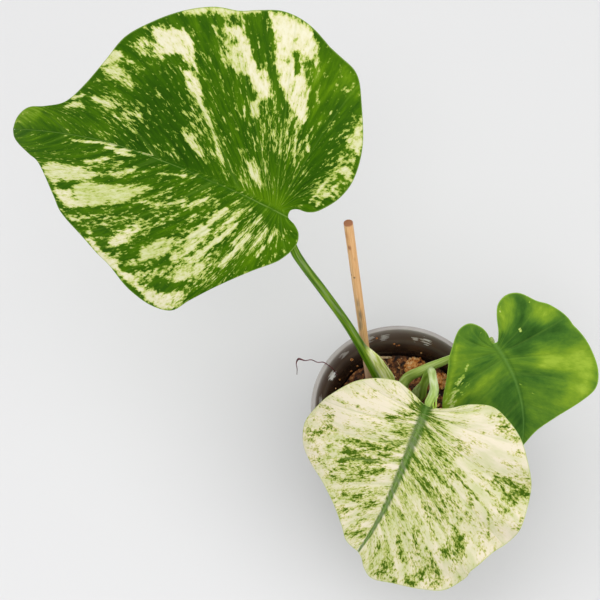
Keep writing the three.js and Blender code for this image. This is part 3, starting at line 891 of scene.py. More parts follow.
STALK_SKINS = {  # three colours each for skin, wing and painted channel highlight, and joint, then the joint's length in mm
    # Full green, with a cream wing.
    "stalk_large": petiole_skin(
        "green_petiole_skin",
        ("#345a02", "#4e7606", "#6e9018"),
        ("#b4c258", "#e0e690", "#f8f8d2"),
        ("#365c04", "#527a0c", "#709420"),
        8,
    ),
    # Pale grey-green, lightest at its long joint.
    "stalk_cream": petiole_skin(
        "pale_petiole_skin",
        ("#5c7c18", "#7a9c34", "#a0bc58"),
        ("#7c9c48", "#a0b868", "#c0d090"),
        ("#90a65c", "#aec07e", "#c6d0a6"),
        20,
    ),
    # Even light green.
    "stalk_green": petiole_skin(
        "light_green_petiole_skin",
        ("#84a444", "#a0b858", "#b8cc80"),
        ("#98b25c", "#b4c878", "#ccd8a0"),
        ("#84a444", "#a0b858", "#b8cc80"),
        4,
    ),
}
for name, stalk in STALKS.items():
    settle(swept_stalk(name + "_petiole", **stalk), STALK_SKINS[name], [name], smooth=80)


# Leaf blades. The real ones are thin leathery heart-shaped blades, variegated: cream and lime
# cells streak the green along the side veins. Each hangs from its stalk and bends under its weight.
MARGIN_ROWS = [0.982, 0.993, 1.0]  # the last shares of the way out, close together where the edge is rounded
VEIN_BOW = 0.13  # how far a side vein curves towards the tip, as a share of its length
LOBE_BOW = 0.7  # the same for the veins that run back into the lobes
SIDE_VEINS = 9
BLADE_SIDES = {"left": 1, "right": -1}
# Each blade in mm, with u along the midrib and w out from it. left and right are its outline from
# the sinus to the tip, and their feet are the u at which the vein to each outline point leaves the
# midrib. base, heading and lift are where the midrib starts and its directions ahead and up, and
# sway bends it sideways. droop is its bend in degrees a mm, near and far, and the u where far
# begins. fall is the same for either side, which starts from the vee in degrees. wave is the height,
# length and reach of the margin's waves and their shift on either side. rib is the keel's depth
# under the midrib, rib_line the (u, w) of the groove over it, and quilt the bulge between veins.
BLADES = {
    "blade_large": {
        "base": [-38, 73.5, 228],
        "heading": [-0.83, 0.55, 0.056],
        "lift": [-0.33, -0.58, 0.745],
        "sway": [-0.19, 0.00115],
        "droop": (0.1, 0.35, 165),
        "fall": (0.2, 0.2),
        "vee": 6,
        "wave": (1.5, 46, 90, 0.1, 0.4),
        "rib": 2,
        "sinus": 0.1,
        "tip": 201,
        "quilt": 0.4,
        "columns": 250,
        "rows": 66,
        "rib_line": [(0, 2.5), (50, 2.3), (90, 1), (120, -0.3), (200, 0)],
        "left": [
            [-0.3, 2.8], [-4.9, 5.6], [-8.3, 10.2], [-7.9, 17], [-1.4, 26.7], [14, 41], [33, 59.5], [47, 74],
            [58, 85.5], [74, 89], [88, 84], [103, 73], [116, 67], [129, 58.5], [145, 47.5], [153, 38],
            [168.5, 20.5], [179, 15], [190.5, 9.5], [197.5, 5],
        ],
        "left_feet": [
            0.1, 1.6, 3.4, 4.4, 5, 5.4, 5.8, 6.4, 8, 10.5, 13.5, 17.5, 24, 33, 45, 60, 72, 105, 130, 160, 184,
            198,
        ],
        "right": [
            [-0.9, 2], [-4.4, 3.4], [-10.3, 3.4], [-16.5, 6.4], [-25.5, 16], [-30.5, 28.5], [-30.5, 46],
            [-24.5, 66], [-18, 80.5], [-7, 87.5], [13, 96], [29, 98], [43, 94], [55, 90], [70, 88], [86, 82],
            [104, 73], [120, 61.5], [130, 46.5], [142, 31], [155, 19.5], [171, 15.5], [184, 14.5],
            [192, 11.5], [198, 6.5],
        ],
        "right_feet": [
            0.1, 1.2, 2.6, 4, 4.8, 5.2, 5.5, 5.8, 6.1, 6.5, 7, 7.8, 8.8, 10, 11.2, 13, 18, 26, 42, 58, 80,
            105, 130, 148, 166, 186, 198,
        ],
    },
    "blade_cream": {
        "base": [10.5, -24, 150],
        "heading": [-0.61, -0.54, -0.58],
        "lift": [-0.27, -0.55, 0.79],
        "sway": [0.12, -0.0006],
        "droop": (0.16, 0.16, 90),
        "fall": (0.35, 0.85),
        "vee": 8,
        "wave": (3, 38, 75, 0.2, 0.6),
        "rib": 1.8,
        "sinus": -0.5,
        "tip": 110,
        "quilt": 0.9,
        "columns": 210,
        "rows": 56,
        "rib_line": [(0, 1.8), (40, 1.9), (70, 2.4), (92, 1.6), (110, 0.2)],
        "left": [
            [-0.6, 3.4], [-2.4, 8.2], [-6, 14], [-13, 22.5], [-17.5, 34], [-14.5, 45], [-8, 56.5], [2, 66],
            [16, 74], [31, 77.5], [46, 78.5], [58, 76.5], [68, 70], [82, 64.5], [93, 64], [105, 57.5],
            [111, 45], [117, 29], [123, 16], [119, 8.5], [113, 4],
        ],
        "left_feet": [
            -0.5, 0.8, 2, 2.7, 3.1, 3.5, 4, 4.7, 5.6, 7.5, 11, 16, 21, 27, 36, 43, 54, 64, 76, 88, 96, 103,
            108,
        ],
        "right": [
            [-0.7, 1.8], [-2.8, 7.3], [-5, 16], [-4.9, 21.2], [0.5, 32.5], [11, 45.5], [28, 59], [41, 66],
            [57, 73], [66, 70.5], [74, 64.5], [77.5, 52], [80, 40], [87, 27], [97, 16.5], [106, 9.5],
        ],
        "right_feet": [-0.5, 0.5, 1.6, 2.6, 3.2, 4.4, 6.5, 11, 16, 23, 29, 36, 43, 51, 62, 76, 92, 108],
    },
    "blade_green": {
        "base": [61.5, 4.5, 142],
        "heading": [0.034, -0.766, -0.643],
        "lift": [-0.062, -0.643, 0.763],
        "sway": [0.4, -0.0055],
        "droop": (0.12, 0.12, 50),
        "fall": (0.3, 0.4),
        "vee": 8,
        "wave": (1.2, 34, 55, 0, 0.5),
        "rib": 1.6,
        "sinus": -1.3,
        "tip": 69,
        "quilt": 0.7,
        "columns": 180,
        "rows": 50,
        "rib_line": [(0, 0.6), (40, 0.2), (69, 0)],
        "left": [
            [-1.7, 1.8], [-4.2, 2.9], [-9, 4], [-17, 5], [-24, 7.5], [-28, 13.5], [-27, 21], [-20, 29.5],
            [-15.5, 36.5], [-6, 44.5], [5, 48], [20, 49], [32, 48.5], [42, 44.5], [48, 34.5], [54, 19.5],
            [60, 8],
        ],
        "left_feet": [
            -1.3, -0.2, 0.8, 1.6, 2.1, 2.5, 2.9, 3.3, 3.8, 4.4, 5.4, 7, 9.5, 13, 19, 28, 41, 54, 67,
        ],
        "right": [
            [-2.4, 1.7], [-5.2, 2.2], [-8.5, 2.8], [-13, 5.4], [-17, 11], [-16, 17], [-11.5, 21.5],
            [-0.5, 28], [13, 37], [26, 45], [37, 46.5], [47.5, 40], [56, 29.5], [63, 17],
        ],
        "right_feet": [-1.3, -0.3, 0.6, 1.3, 1.9, 2.4, 2.8, 3.2, 4.2, 6, 9, 14, 22, 33, 48, 67],
    },
}


def along_margin(points, shares):
    """Points at the given shares of the blade's flat outline, which the solid follows too."""
    points = np.asarray(points, float)
    slot = np.clip(shares, 0, 1) * (len(points) - 1)
    first = np.minimum(slot.astype(int), len(points) - 2)
    part = (slot - first)[:, None]
    a, b, c, d = (points[np.clip(first + k, 0, len(points) - 1)] for k in (-1, 0, 1, 2))
    leave, arrive = (c - a) / 2, (d - b) / 2
    return smooth_stretch(b, c, leave, arrive, part)


def bend(blade, u, w, side):
    """Lays flat points, u along the midrib and w to one side of it, on the bent blade."""
    ahead = np.array(blade["heading"], float)
    ahead /= np.linalg.norm(ahead)
    up = np.array(blade["lift"], float)
    up -= ahead * (ahead @ up)
    up /= np.linalg.norm(up)
    left = np.cross(up, ahead)
    droop, tip_droop, tip_from = blade["droop"]
    k, k_tip = math.radians(droop), math.radians(tip_droop)
    near, far = np.minimum(u, tip_from)[:, None], np.maximum(u - tip_from, 0)[:, None]
    here = ahead * np.cos(k * near) - up * np.sin(k * near)
    rise = up * np.cos(k * near) + ahead * np.sin(k * near)
    point = np.array(blade["base"], float) + ahead * np.sin(k * near) / k - up * (1 - np.cos(k * near)) / k
    point = point + here * np.sin(k_tip * far) / k_tip - rise * (1 - np.cos(k_tip * far)) / k_tip
    rise = rise * np.cos(k_tip * far) + here * np.sin(k_tip * far)
    sign = BLADE_SIDES[side]
    fall = math.radians(blade["fall"][0 if side == "left" else 1])
    vee = math.radians(blade["vee"])
    slope = vee - fall * w
    out = (math.sin(vee) - np.sin(slope)) / fall
    height, length, reach, phase_left, phase_right = blade["wave"]
    phase = phase_left if side == "left" else phase_right
    lift = (np.cos(slope) - math.cos(vee)) / fall
    lift += height * (w / reach) ** 2 * np.sin(2 * math.pi * (u / length + phase))
    onward = np.maximum(u, 0)
    middle = blade["sway"][0] * onward + blade["sway"][1] * onward**2
    point = point + left * (middle + sign * out)[:, None] + rise * lift[:, None]
    lean = slope * np.clip(w / 2, 0, 1)
    normal = rise * np.cos(lean)[:, None] - left * (sign * np.sin(lean))[:, None]
    return point, normal


def vein_columns(blade, outlines):
    """Where each of the mesh's vein lines leaves the midrib, and where it meets either margin."""
    feet = {side: blade[side + "_feet"] for side in outlines}
    spots = {side: np.linspace(0, 1, len(feet[side])) for side in outlines}
    even = np.linspace(0, 1, 4000)
    fine = sum(np.interp(even, spots[side], feet[side]) for side in outlines) / 2
    steps = np.zeros(len(fine) - 1)
    for side, outline in outlines.items():
        margin = along_margin(outline, np.interp(fine, feet[side], spots[side]))
        steps = np.maximum(steps, np.linalg.norm(np.diff(margin, axis=0), axis=1))
    travelled = np.concatenate([[0], np.cumsum(steps)])
    roots = np.interp(np.linspace(0, travelled[-1], blade["columns"] + 1), travelled, fine)
    places = {side: np.interp(roots, feet[side], spots[side]) for side in outlines}
    return roots, places


def inside_by(outline, points, closed):
    """How far each flat point lies inside a closed outline, or its distance below zero from a line."""
    outline = np.asarray(outline, float)
    nearest = np.full(len(points), 1e9)
    crossings = np.zeros(len(points), int)
    ends = np.roll(outline, -1, axis=0) if closed else outline[1:]
    for a, b in zip(outline, ends):
        edge = b - a
        part = np.clip(((points - a) @ edge) / (edge @ edge), 0, 1)[:, None]
        nearest = np.minimum(nearest, np.linalg.norm(points - a - edge * part, axis=1))
        if a[1] != b[1]:
            level = points[:, 1]
            meets = a[0] + (level - a[1]) * (b[0] - a[0]) / (b[1] - a[1])
            between = (level >= min(a[1], b[1])) & (level < max(a[1], b[1]))
            crossings += (between & (meets > points[:, 0])).astype(int)
    return np.where((crossings % 2 == 1) & closed, nearest, -nearest)


def painted(points, ground, marks):
    """A value over the flat blade: the ground, with each soft-edged patch or streak laid over it."""
    value = np.full(len(points), float(ground))
    for amount, soft, half_width, outline in marks:
        depth = inside_by(outline, points, half_width is None) + (half_width or 0)
        cover = np.clip(0.5 + depth / soft, 0, 1)
        value += (amount - value) * cover**2 * (3 - 2 * cover)
    return value


def make_blade(name, blade, marks):
    """The blade's mesh, laid out along its side veins, with what its material needs at each point."""
    rows = np.concatenate([np.linspace(0, 1, blade["rows"])[:-2] ** 1.2, MARGIN_ROWS])
    outlines = {side: [[blade["sinus"], 0], *blade[side], [blade["tip"], 0]] for side in BLADE_SIDES}
    roots, places = vein_columns(blade, outlines)
    upper, lower, extras, flats = [], [], [], []
    for side, outline in outlines.items():
        own = places[side]
        margin = along_margin(outline, own)
        margin[:, 1] = np.maximum(margin[:, 1], 0)
        start = np.stack([roots, np.zeros_like(roots)], -1)
        chord = margin - start
        length = np.linalg.norm(chord, axis=1) + 1e-6
        bow = (
            VEIN_BOW
            * np.maximum(chord[:, :1], 0)
            * np.stack([-chord[:, 1], chord[:, 0]], -1)
            / length[:, None]
        )
        bow[:, 1] += LOBE_BOW / 2 * np.maximum(-chord[:, 0], 0)
        middle = (start + margin) / 2 + bow
        r = rows[None, :, None]
        flat = start[:, None] * (1 - r) ** 2 + middle[:, None] * 2 * r * (1 - r) + margin[:, None] * r**2
        flat[:, :, 1] = np.maximum(flat[:, :, 1], 0)
        u, w = flat[:, :, 0].ravel(), flat[:, :, 1].ravel()
        point, normal = bend(blade, u, w, side)
        across = distance_along(margin * 0.6 + start * 0.4)
        veins_at = np.interp(np.arange(1, SIDE_VEINS) / SIDE_VEINS, own, across)
        from_vein = np.abs(across[:, None] - veins_at[None]).min(axis=1)[:, None] * (0.2 + 0.9 * rows[None])
        across = np.repeat(across[:, None], len(rows), 1)
        along = length[:, None] * rows[None]
        to_edge = length[:, None] * (1 - rows[None])
        veins = np.abs(np.sin(math.pi * SIDE_VEINS * own))[:, None] ** 0.7
        room = np.clip(along / 8, 0, 1) * np.clip(to_edge / 14, 0, 1)
        bulge = (blade["quilt"] * (veins - 0.6) * room).ravel()
        # Half the blade's thickness, which is least at the edge.
        half = 0.14 + 0.2 * np.clip(to_edge / 2.5, 0, 1).ravel() ** 0.5
        taper = 1 - 0.8 * np.clip(u, 0, None) / blade["tip"]
        grown = np.clip((u - blade["sinus"]) / 14, 0, 1) ** 2
        sign = BLADE_SIDES[side]
        rib_at, rib_off = zip(*blade["rib_line"])
        from_rib = np.abs(sign * w - np.interp(u, rib_at, rib_off))
        keel = blade["rib"] * grown * taper * np.exp(-((w / 2.2) ** 2))
        groove = 0.3 * grown * taper * np.exp(-((from_rib / 0.9) ** 2))
        upper.append(point + normal * (half + bulge - groove)[:, None])
        lower.append(point + normal * (bulge - half - keel)[:, None])
        extras.append(
            np.stack(
                [  # the right half reads its own part of the noise, a metre away from the left
                    across.ravel() + (0 if side == "left" else 1000),
                    along.ravel(),
                    np.repeat(own[:, None], len(rows), 1).ravel(),
                    to_edge.ravel(),
                    from_rib / np.maximum(taper, 0.15),
                    from_vein.ravel(),
                ],
                -1,
            )
        )
        flats.append(np.stack([u, sign * w], -1))
    count, across_rows = len(roots), len(rows)
    sheet = count * across_rows
    faces = []
    # The sheets lie in the order upper left, upper right, lower left and lower right.
    for shift, flip in ((0, False), (sheet, True), (2 * sheet, True), (3 * sheet, False)):
        grid = shift + np.arange(sheet).reshape(count, across_rows)
        quads = np.stack([grid[:-1, :-1], grid[1:, :-1], grid[1:, 1:], grid[:-1, 1:]], -1).reshape(-1, 4)
        faces += (quads[:, ::-1] if flip else quads).tolist()
    for upper_shift, lower_shift, flip in ((0, 2 * sheet, False), (sheet, 3 * sheet, True)):
        rim_up = upper_shift + np.arange(count) * across_rows + across_rows - 1
        rim_low = lower_shift + np.arange(count) * across_rows + across_rows - 1
        quads = np.stack([rim_up[:-1], rim_up[1:], rim_low[1:], rim_low[:-1]], -1)
        faces += (quads[:, ::-1] if flip else quads).tolist()
    piece = laid_out(name, np.concatenate([*upper, *lower]), faces)
    extra = np.concatenate(extras * 2)
    flat = np.concatenate(flats)
    give_attribute(piece, "vein", extra[:, :3])
    give_attribute(piece, "edge", extra[:, 3])
    give_attribute(piece, "rib", extra[:, 4])
    give_attribute(piece, "side_vein", extra[:, 5])
    for value, (ground, drawn) in marks.items():
        give_attribute(piece, value, np.tile(painted(flat, ground, drawn), 2))
    give_attribute(piece, "under", np.repeat([0.0, 0.0, 1.0, 1.0], sheet))
    edit(piece)
    bpy.ops.mesh.remove_doubles(threshold=2e-6)
    bpy.ops.object.mode_set(mode="OBJECT")
    return piece


# What is drawn on each blade, in the flat millimetres of its outline, with w below zero on the
# right: how pale it is, from green at -6 to cream at 6, how white its cream is, and how light its
# green is. Each mark is its value, its soft edge, a streak's half width (None for a patch), points.
MARKS = {
    "blade_large": {
        "pale": (-4.4, [
            (-2.6, 9, None, [
                (-3, 8), (20, 5), (45, 8), (60, 14), (62, 30), (58, 44), (42, 50), (30, 44), (14, 32),
                (0, 20),
            ]),
            (-0.8, 9, None, [(36, 44), (58, 42), (68, 55), (62, 64), (50, 68), (42, 62), (34, 52)]),
            (-0.9, 8, None, [
                (48, 66), (56, 82), (64, 87), (74, 86), (84, 80), (92, 74), (110, 70), (120, 62), (110, 56),
                (92, 60), (76, 62), (62, 62),
            ]),
            (-1.6, 8, None, [
                (72, 34), (90, 36), (112, 40), (130, 46), (140, 50), (128, 53), (112, 49), (92, 47), (78, 44),
            ]),
            (-1.8, 8, None, [(58, 12), (76, 18), (92, 28), (80, 32), (64, 30)]),
            (-1.6, 7, None, [(95, 8), (112, 10), (132, 12), (134, 17), (116, 19), (98, 15)]),
            (-2.4, 8, None, [(12, -5), (34, -5), (34, -22), (24, -26), (14, -20)]),
            (-2.2, 9, None, [(0, -24), (12, -26), (26, -28), (30, -50), (14, -50), (2, -48)]),
            (-0.6, 8, None, [
                (-31, -26), (-22, -14), (-14, -8), (-9, -11), (-16, -24), (-20, -40), (-22, -58), (-27, -60),
                (-31, -45),
            ]),
            (-0.6, 8, None, [
                (24, -48), (40, -56), (56, -64), (68, -78), (56, -82), (44, -78), (34, -68), (26, -62),
            ]),
            (-1.4, 8, None, [(98, -12), (124, -14), (134, -24), (120, -30), (100, -26)]),
            (-1.6, 8, None, [(40, -8), (56, -8), (70, -22), (68, -42), (58, -38), (48, -24)]),
            (0.4, 7, None, [(90, -52), (112, -54), (108, -63), (98, -64)]),
            (-1.2, 7, None, [(104, -34), (128, -36), (134, -46), (118, -50), (108, -42)]),
            (4.6, 5.5, None, [
                (49, 70), (55, 80), (61, 86), (70, 88), (77, 85), (80, 80), (72, 78), (64, 77), (57, 73),
            ]),
            (4.6, 5.5, None, [
                (78, 84), (88, 80), (97, 75), (104, 73), (113, 70), (120, 64), (128, 58), (119, 60),
                (110, 65), (99, 68), (90, 71), (84, 75),
            ]),
            (4.6, 4.5, None, [
                (57, 40), (64, 46), (69, 53), (75, 59), (82, 63), (87, 61), (85, 56), (79, 51), (73, 46),
                (66, 42),
            ]),
            (4.8, 4.5, None, [
                (87, 45), (96, 46), (102, 51), (108, 59), (110, 62), (104, 61), (97, 56), (91, 51),
            ]),
            (4.6, 3.5, None, [(117, 54), (121, 57.5), (125, 56), (121, 53.5)]),
            (4.6, 4.5, None, [
                (83, 18), (91, 24), (99, 30), (108, 35), (118, 38), (127, 40), (137, 42), (136, 36),
                (138, 31), (134, 27), (124, 25), (112, 24), (101, 22), (92, 19),
            ]),
            (4.6, 4.5, None, [
                (126, 40), (137, 43), (144, 43), (150, 38), (153, 33), (146, 33), (139, 33), (136, 37),
            ]),
            (4.6, 4.5, None, [
                (120, 19), (130, 24), (138, 27), (148, 27), (154, 30), (160, 28), (166, 21), (160, 18),
                (150, 18), (138, 18), (128, 18),
            ]),
            (4.2, 4.5, None, [(42, 50), (48, 58), (54, 66), (59, 66), (57, 58), (51, 50), (46, 45)]),
            (-5, 4, None, [(50, 63), (58, 66), (68, 69), (79, 75), (73, 77), (62, 75), (54, 69)]),
            (-4, 4, None, [(84, 54), (90, 60), (98, 66), (92, 66), (84, 62)]),
            (-4, 4, None, [(98, 61), (110, 60), (118, 58), (112, 64), (102, 66)]),
            (-4, 3, None, [(84, 68), (92, 68), (100, 70), (94, 73), (86, 73)]),
            (4, 2.4, 1.5, [(19, 22), (27, 37), (32, 46)]),
            (4, 2.4, 1.5, [(28, 20), (38, 34), (46, 44)]),
            (4.4, 2.4, 1.7, [(36, 14), (46, 28), (54, 38)]),
            (4.6, 2.4, 1.9, [(44, 30), (52, 42), (60, 52)]),
            (3.4, 2, 0.7, [(10, 14), (15, 26), (18, 33)]),
            (3.4, 2, 0.7, [(4, 10), (8, 22), (12, 31)]),
            (3.4, 2, 0.8, [(14, 8), (22, 22), (27, 30)]),
            (3.4, 2, 0.9, [(26, 10), (34, 22), (40, 30)]),
            (3.4, 2, 0.9, [(48, 12), (56, 18), (62, 22)]),
            (2.8, 2, 0.8, [(62, 19), (72, 25), (88, 28)]),
            (3.4, 2, 0.9, [(96, 11), (106, 15), (113, 17)]),
            (3.4, 2, 0.8, [(118, 9), (128, 13), (134, 14)]),
            (5, 1.6, 1.0, [(100, 3.4), (106, 4), (113, 4)]),
            (5, 1.4, 0.7, [(104, 1.2), (112, 2.4), (121, 3)]),
            (5, 1.4, 0.7, [(114, 0.3), (126, 1.2), (138, 2.5), (145, 3)]),
            (4, 1.2, 0.5, [(88, 0.4), (96, 0.6)]),
            (3.4, 1.6, 0.6, [(64, 5), (74, 7), (82, 9)]),
            (3.4, 1.6, 0.6, [(131, 50), (138, 50), (144, 46)]),
            (3.4, 1.6, 0.5, [(150, 1), (160, 2), (170, 1.5)]),
            (4.8, 5.5, None, [
                (2, -49), (3, -56), (5, -66), (9, -72), (11, -78), (6, -82), (7, -90), (12, -95), (22, -97),
                (32, -96), (37, -95), (34, -88), (29, -82), (26, -74), (24, -67), (20, -60), (14, -55),
                (9, -50),
            ]),
            (4.6, 4.5, None, [
                (24, -54), (30, -50), (33, -56), (37, -60), (44, -65), (47, -70), (52, -76), (57, -80),
                (50, -83), (46, -78), (41, -72), (37, -66), (30, -63), (26, -60),
            ]),
            (4.2, 4.5, None, [(38, -60), (45, -59), (50, -62), (54, -67), (57, -72), (50, -70), (45, -65)]),
            (4.2, 4.5, None, [
                (40, -94), (50, -90), (58, -86), (70, -84), (82, -81), (90, -79), (84, -84), (72, -88),
                (60, -90), (48, -94),
            ]),
            (4.8, 3.5, None, [(63, -41), (70, -40), (75, -44), (79, -51), (74, -52), (67, -48)]),
            (4.8, 4.5, None, [
                (68, -51), (75, -56), (82, -59), (90, -56), (95, -57), (99, -63), (106, -69), (98, -71),
                (86, -71), (79, -71), (73, -63),
            ]),
            (3, 5, None, [
                (108, -33), (114, -36), (122, -37), (129, -41), (124, -43), (114, -40), (109, -38),
            ]),
            (4.8, 3.5, None, [(119, -51), (124, -46), (133, -43), (131, -49), (125, -53)]),
            (3.4, 2, 0.6, [(100, -20), (112, -19)]),
            (4, 2, 1.1, [(118, -21), (126, -23), (134, -24)]),
            (4.8, 3.5, None, [(139, -18), (146, -17), (155, -16), (148, -20), (142, -20.5)]),
            (4, 2, 0.8, [(142, -24.5), (150, -22)]),
            (4.2, 3.5, None, [(20, -7), (26, -9), (28.5, -16), (26, -20), (22, -15)]),
            (4.8, 3.5, None, [(56, -8), (63, -12), (68, -15), (72, -21), (66, -18), (60, -14)]),
            (3.4, 2, 0.9, [(44, -11), (48, -17), (52, -24), (57, -31)]),
            (4, 2, 1.1, [(54, -27), (60, -33), (66, -40)]),
            (4.8, 3.5, None, [(29, -40), (33, -40), (34.5, -47), (31, -50), (29, -46)]),
            (3.4, 1.8, 0.7, [(36, -39), (38, -44)]),
            (4.8, 3.5, None, [(-30, -41), (-25, -42), (-24, -52), (-26, -59), (-28.5, -52)]),
            (4.2, 3.5, None, [(-29, -27), (-24, -28), (-24, -33), (-28, -33)]),
            (2.8, 1.8, 0.5, [(-10, -9), (-14, -18), (-18, -26)]),
            (2.8, 1.8, 0.6, [(-14, -8), (-20, -18), (-24, -26)]),
            (2.8, 1.8, 0.5, [(3, -26), (5, -38), (7, -48)]),
            (2.8, 1.8, 0.5, [(12, -28), (14, -40)]),
            (2.8, 1.8, 0.5, [(22, -26), (24, -38)]),
            (4, 2, 0.8, [(-3, -36), (-0.5, -43)]),
            (-5, 3, 1.6, [(14, -72), (17, -80)]),
            (-6, 6, None, [(-3, 3), (0, 9), (8, 12), (18, 6), (18, -4), (10, -9), (0, -9), (-4, -4)]),
            (-6, 8, None, [(160, 16), (172, 14), (186, 8), (200, 0), (184, -13), (160, -15), (150, -8)]),
        ]),
        "white": (0.5, [
            (0.9, 8, None, [
                (46, 68), (58, 86), (76, 88), (92, 80), (130, 60), (118, 58), (90, 66), (60, 72),
            ]),
            (1.0, 6, None, [(86, 44), (100, 46), (112, 62), (100, 62)]),
            (0.15, 8, None, [(56, 38), (84, 50), (88, 62), (76, 62)]),
            (0.1, 8, None, [(82, 16), (104, 20), (136, 26), (138, 34), (118, 40), (98, 32)]),
            (0.9, 6, None, [(136, 34), (154, 32), (146, 45), (134, 44)]),
            (1.0, 8, None, [(0, -46), (28, -50), (60, -80), (38, -98), (10, -96)]),
            (1.0, 6, None, [(62, -38), (110, -56), (108, -72), (70, -72)]),
        ]),
        "shade": (0.45, [
            (0.72, 14, None, [(-6, 6), (20, 3), (34, 0), (22, -8), (4, -8)]),
            (0.6, 16, None, [(-8, 12), (4, 30), (34, 58), (30, 48), (6, 20)]),
            (0.25, 24, None, [(60, 4), (110, 6), (112, -22), (90, -50), (66, -34)]),
            (0.7, 14, None, [(2, -56), (10, -78), (-4, -84), (-10, -70)]),
            (0.75, 12, None, [(-24, -66), (-17, -79), (-6, -87), (-8, -80), (-16, -70)]),
            (0.3, 12, None, [(-16, -12), (0, -14), (-6, -46), (-18, -44)]),
            # These three marks paint the curled tip lighter, with a darker line along its middle, and
            # brightest on the lobe whose curl faces the light: painted light.
            (0.6, 14, None, [(150, -2), (176, 6), (196, 4), (201, 0), (196, -9), (174, -12), (150, -12)]),
            (0.4, 8, None, [(150, -3), (176, -3), (196, -1), (198, 3), (176, 4), (150, 3)]),
            (0.86, 6, None, [(176, -7), (190, -4), (199, -4), (199, -9), (192, -14), (180, -16), (172, -14)]),
        ]),
    },
    "blade_cream": {
        "pale": (6.4, [
            (4.0, 14, None, [
                (-2, -2), (20, -26), (50, -44), (90, -30), (108, -4), (108, 16), (90, 34), (50, 34), (20, 30),
                (4, 16),
            ]),
            (0.6, 9, None, [(12, 58), (20, 52), (26, 50), (36, 56), (38, 66), (34, 72), (26, 76), (16, 72)]),
            (0.4, 6, None, [(-13, 41), (-8, 40), (-5, 46), (-4, 54), (-8, 56), (-12, 48)]),
            (0.4, 8, None, [(62, 44), (70, 40), (80, 42), (82, 52), (80, 60), (72, 56), (66, 52)]),
            (0.8, 9, None, [
                (84, 30), (96, 30), (106, 38), (108, 50), (104, 56), (96, 48), (86, 46), (82, 38),
            ]),
            (2.0, 10, None, [(38, 14), (50, 14), (62, 30), (66, 48), (58, 58), (48, 52), (40, 40), (34, 26)]),
            (1.6, 8, None, [
                (4, 3), (30, 4), (60, 5), (64, 12), (50, 16), (40, 30), (30, 34), (22, 22), (14, 30), (8, 26),
                (2, 12),
            ]),
            (1.2, 6, None, [(100, 14), (118, 14), (122, 20), (116, 30), (110, 40), (104, 34), (106, 24)]),
            (2.8, 8, None, [(80, 14), (98, 10), (104, 20), (96, 30), (82, 28)]),
            (0.4, 9, None, [
                (28, -4), (40, -3), (52, -10), (60, -18), (68, -28), (72, -40), (66, -48), (56, -42),
                (46, -34), (38, -24), (30, -14),
            ]),
            (1.6, 8, None, [
                (34, -47), (42, -52), (50, -60), (58, -70), (66, -70), (72, -62), (64, -54), (54, -48),
                (44, -44),
            ]),
            (1.2, 7, None, [(2, -2), (16, -2), (20, -10), (22, -20), (16, -18), (8, -10)]),
            (2.0, 8, None, [(60, -4), (72, -4), (86, -18), (92, -22), (84, -28), (74, -26), (66, -14)]),
            (2.0, 8, None, [(86, -2), (106, -3), (108, -8), (98, -12), (90, -10)]),
            (9, 10, None, [(-6, 28), (4, 30), (12, 32), (14, 48), (8, 58), (-2, 54), (-8, 44)]),
            (7.6, 10, None, [(-4, -14), (6, -14), (24, -26), (44, -46), (30, -52), (14, -44), (2, -32)]),
            (8, 8, None, [(40, 60), (52, 62), (60, 70), (50, 74), (40, 72)]),
            (-3, 2.2, 0.6, [(24, 18), (28, 30), (33, 43), (39, 56), (48, 60), (58, 64)]),
            (-2, 2.0, 0.5, [(96, 42), (104, 37), (110, 31), (117, 22)]),
            (-4, 4, None, [(-1, 0), (3, 9), (6, 6), (6, -6), (3, -9), (-1, -4)]),
            (-3, 2.4, 0.8, [(5, -2), (12, -9), (17, -18)]),
            (-3, 2.4, 0.8, [(26, -3), (36, -14), (46, -26), (56, -38)]),
            (-3, 2.4, 0.9, [(42, -12), (52, -26), (62, -40)]),
            (-2, 2.4, 0.7, [(72, -4), (80, -13), (88, -22)]),
            (-3, 2.4, 0.8, [(30, 5), (40, 17), (46, 26)]),
            (-3, 2.4, 0.8, [(12, 5), (17, 16), (20, 26)]),
            (-2, 2.4, 0.7, [(44, 8), (54, 20), (60, 32)]),
            (-2, 2.4, 0.7, [(4, 8), (7, 18), (9, 26)]),
        ]),
        "white": (0.45, [
            (1.0, 16, None, [(-12, 24), (10, 28), (14, 50), (4, 62), (-10, 52)]),
            (1.0, 16, None, [(-5, -10), (14, -14), (44, -46), (74, -54), (66, -70), (30, -58), (0, -34)]),
            (0.8, 10, None, [(38, 58), (62, 62), (78, 66), (52, 76)]),
            (0.9, 10, None, [(88, 54), (104, 50), (112, 40), (104, 58)]),
            (0.1, 12, None, [(-4, 16), (-12, 22), (-18, 36), (-12, 44), (-12, 30)]),
            (0.15, 14, None, [(0, 4), (60, 4), (66, 16), (20, 26), (4, 20)]),
            (0.15, 14, None, [(56, 6), (106, 6), (112, 14), (96, 24), (66, 26)]),
        ]),
        "shade": (0.5, [
            (0.2, 10, None, [(-2, 8), (8, 6), (8, -6), (-2, -6)]),
            (0.8, 16, None, [(20, 2), (60, 3), (62, 12), (20, 24)]),
        ]),
    },
    "blade_green": {
        "pale": (-7, [
            (5, 2.0, 0.9, [(-6, 16), (-5, 16.2)]),
            (2, 2.0, 0.7, [(-21, 25.5), (-19.5, 24.5)]),
            (2, 2.2, 0.7, [(-23, 8.6), (-19, 7.4)]),
            (2, 1.6, 0.4, [(20, 12.4), (20.4, 12)]),
            (1.6, 1.6, 0.5, [(34.5, 7.6), (35.5, 8.4)]),
            (2.4, 1.6, 0.5, [(27.5, 2), (28.6, 3.6)]),
            (1.4, 1.6, 0.4, [(9, 18.4), (9.3, 18)]),
            (-2.2, 8, None, [(16, -22), (26, -28), (34, -40), (26, -44), (14, -34)]),
            (2.4, 2.4, 1.6, [(21, -35), (24, -39), (28, -42)]),
            (2.0, 2.4, 1.6, [(26, -38), (31, -41), (36, -45)]),
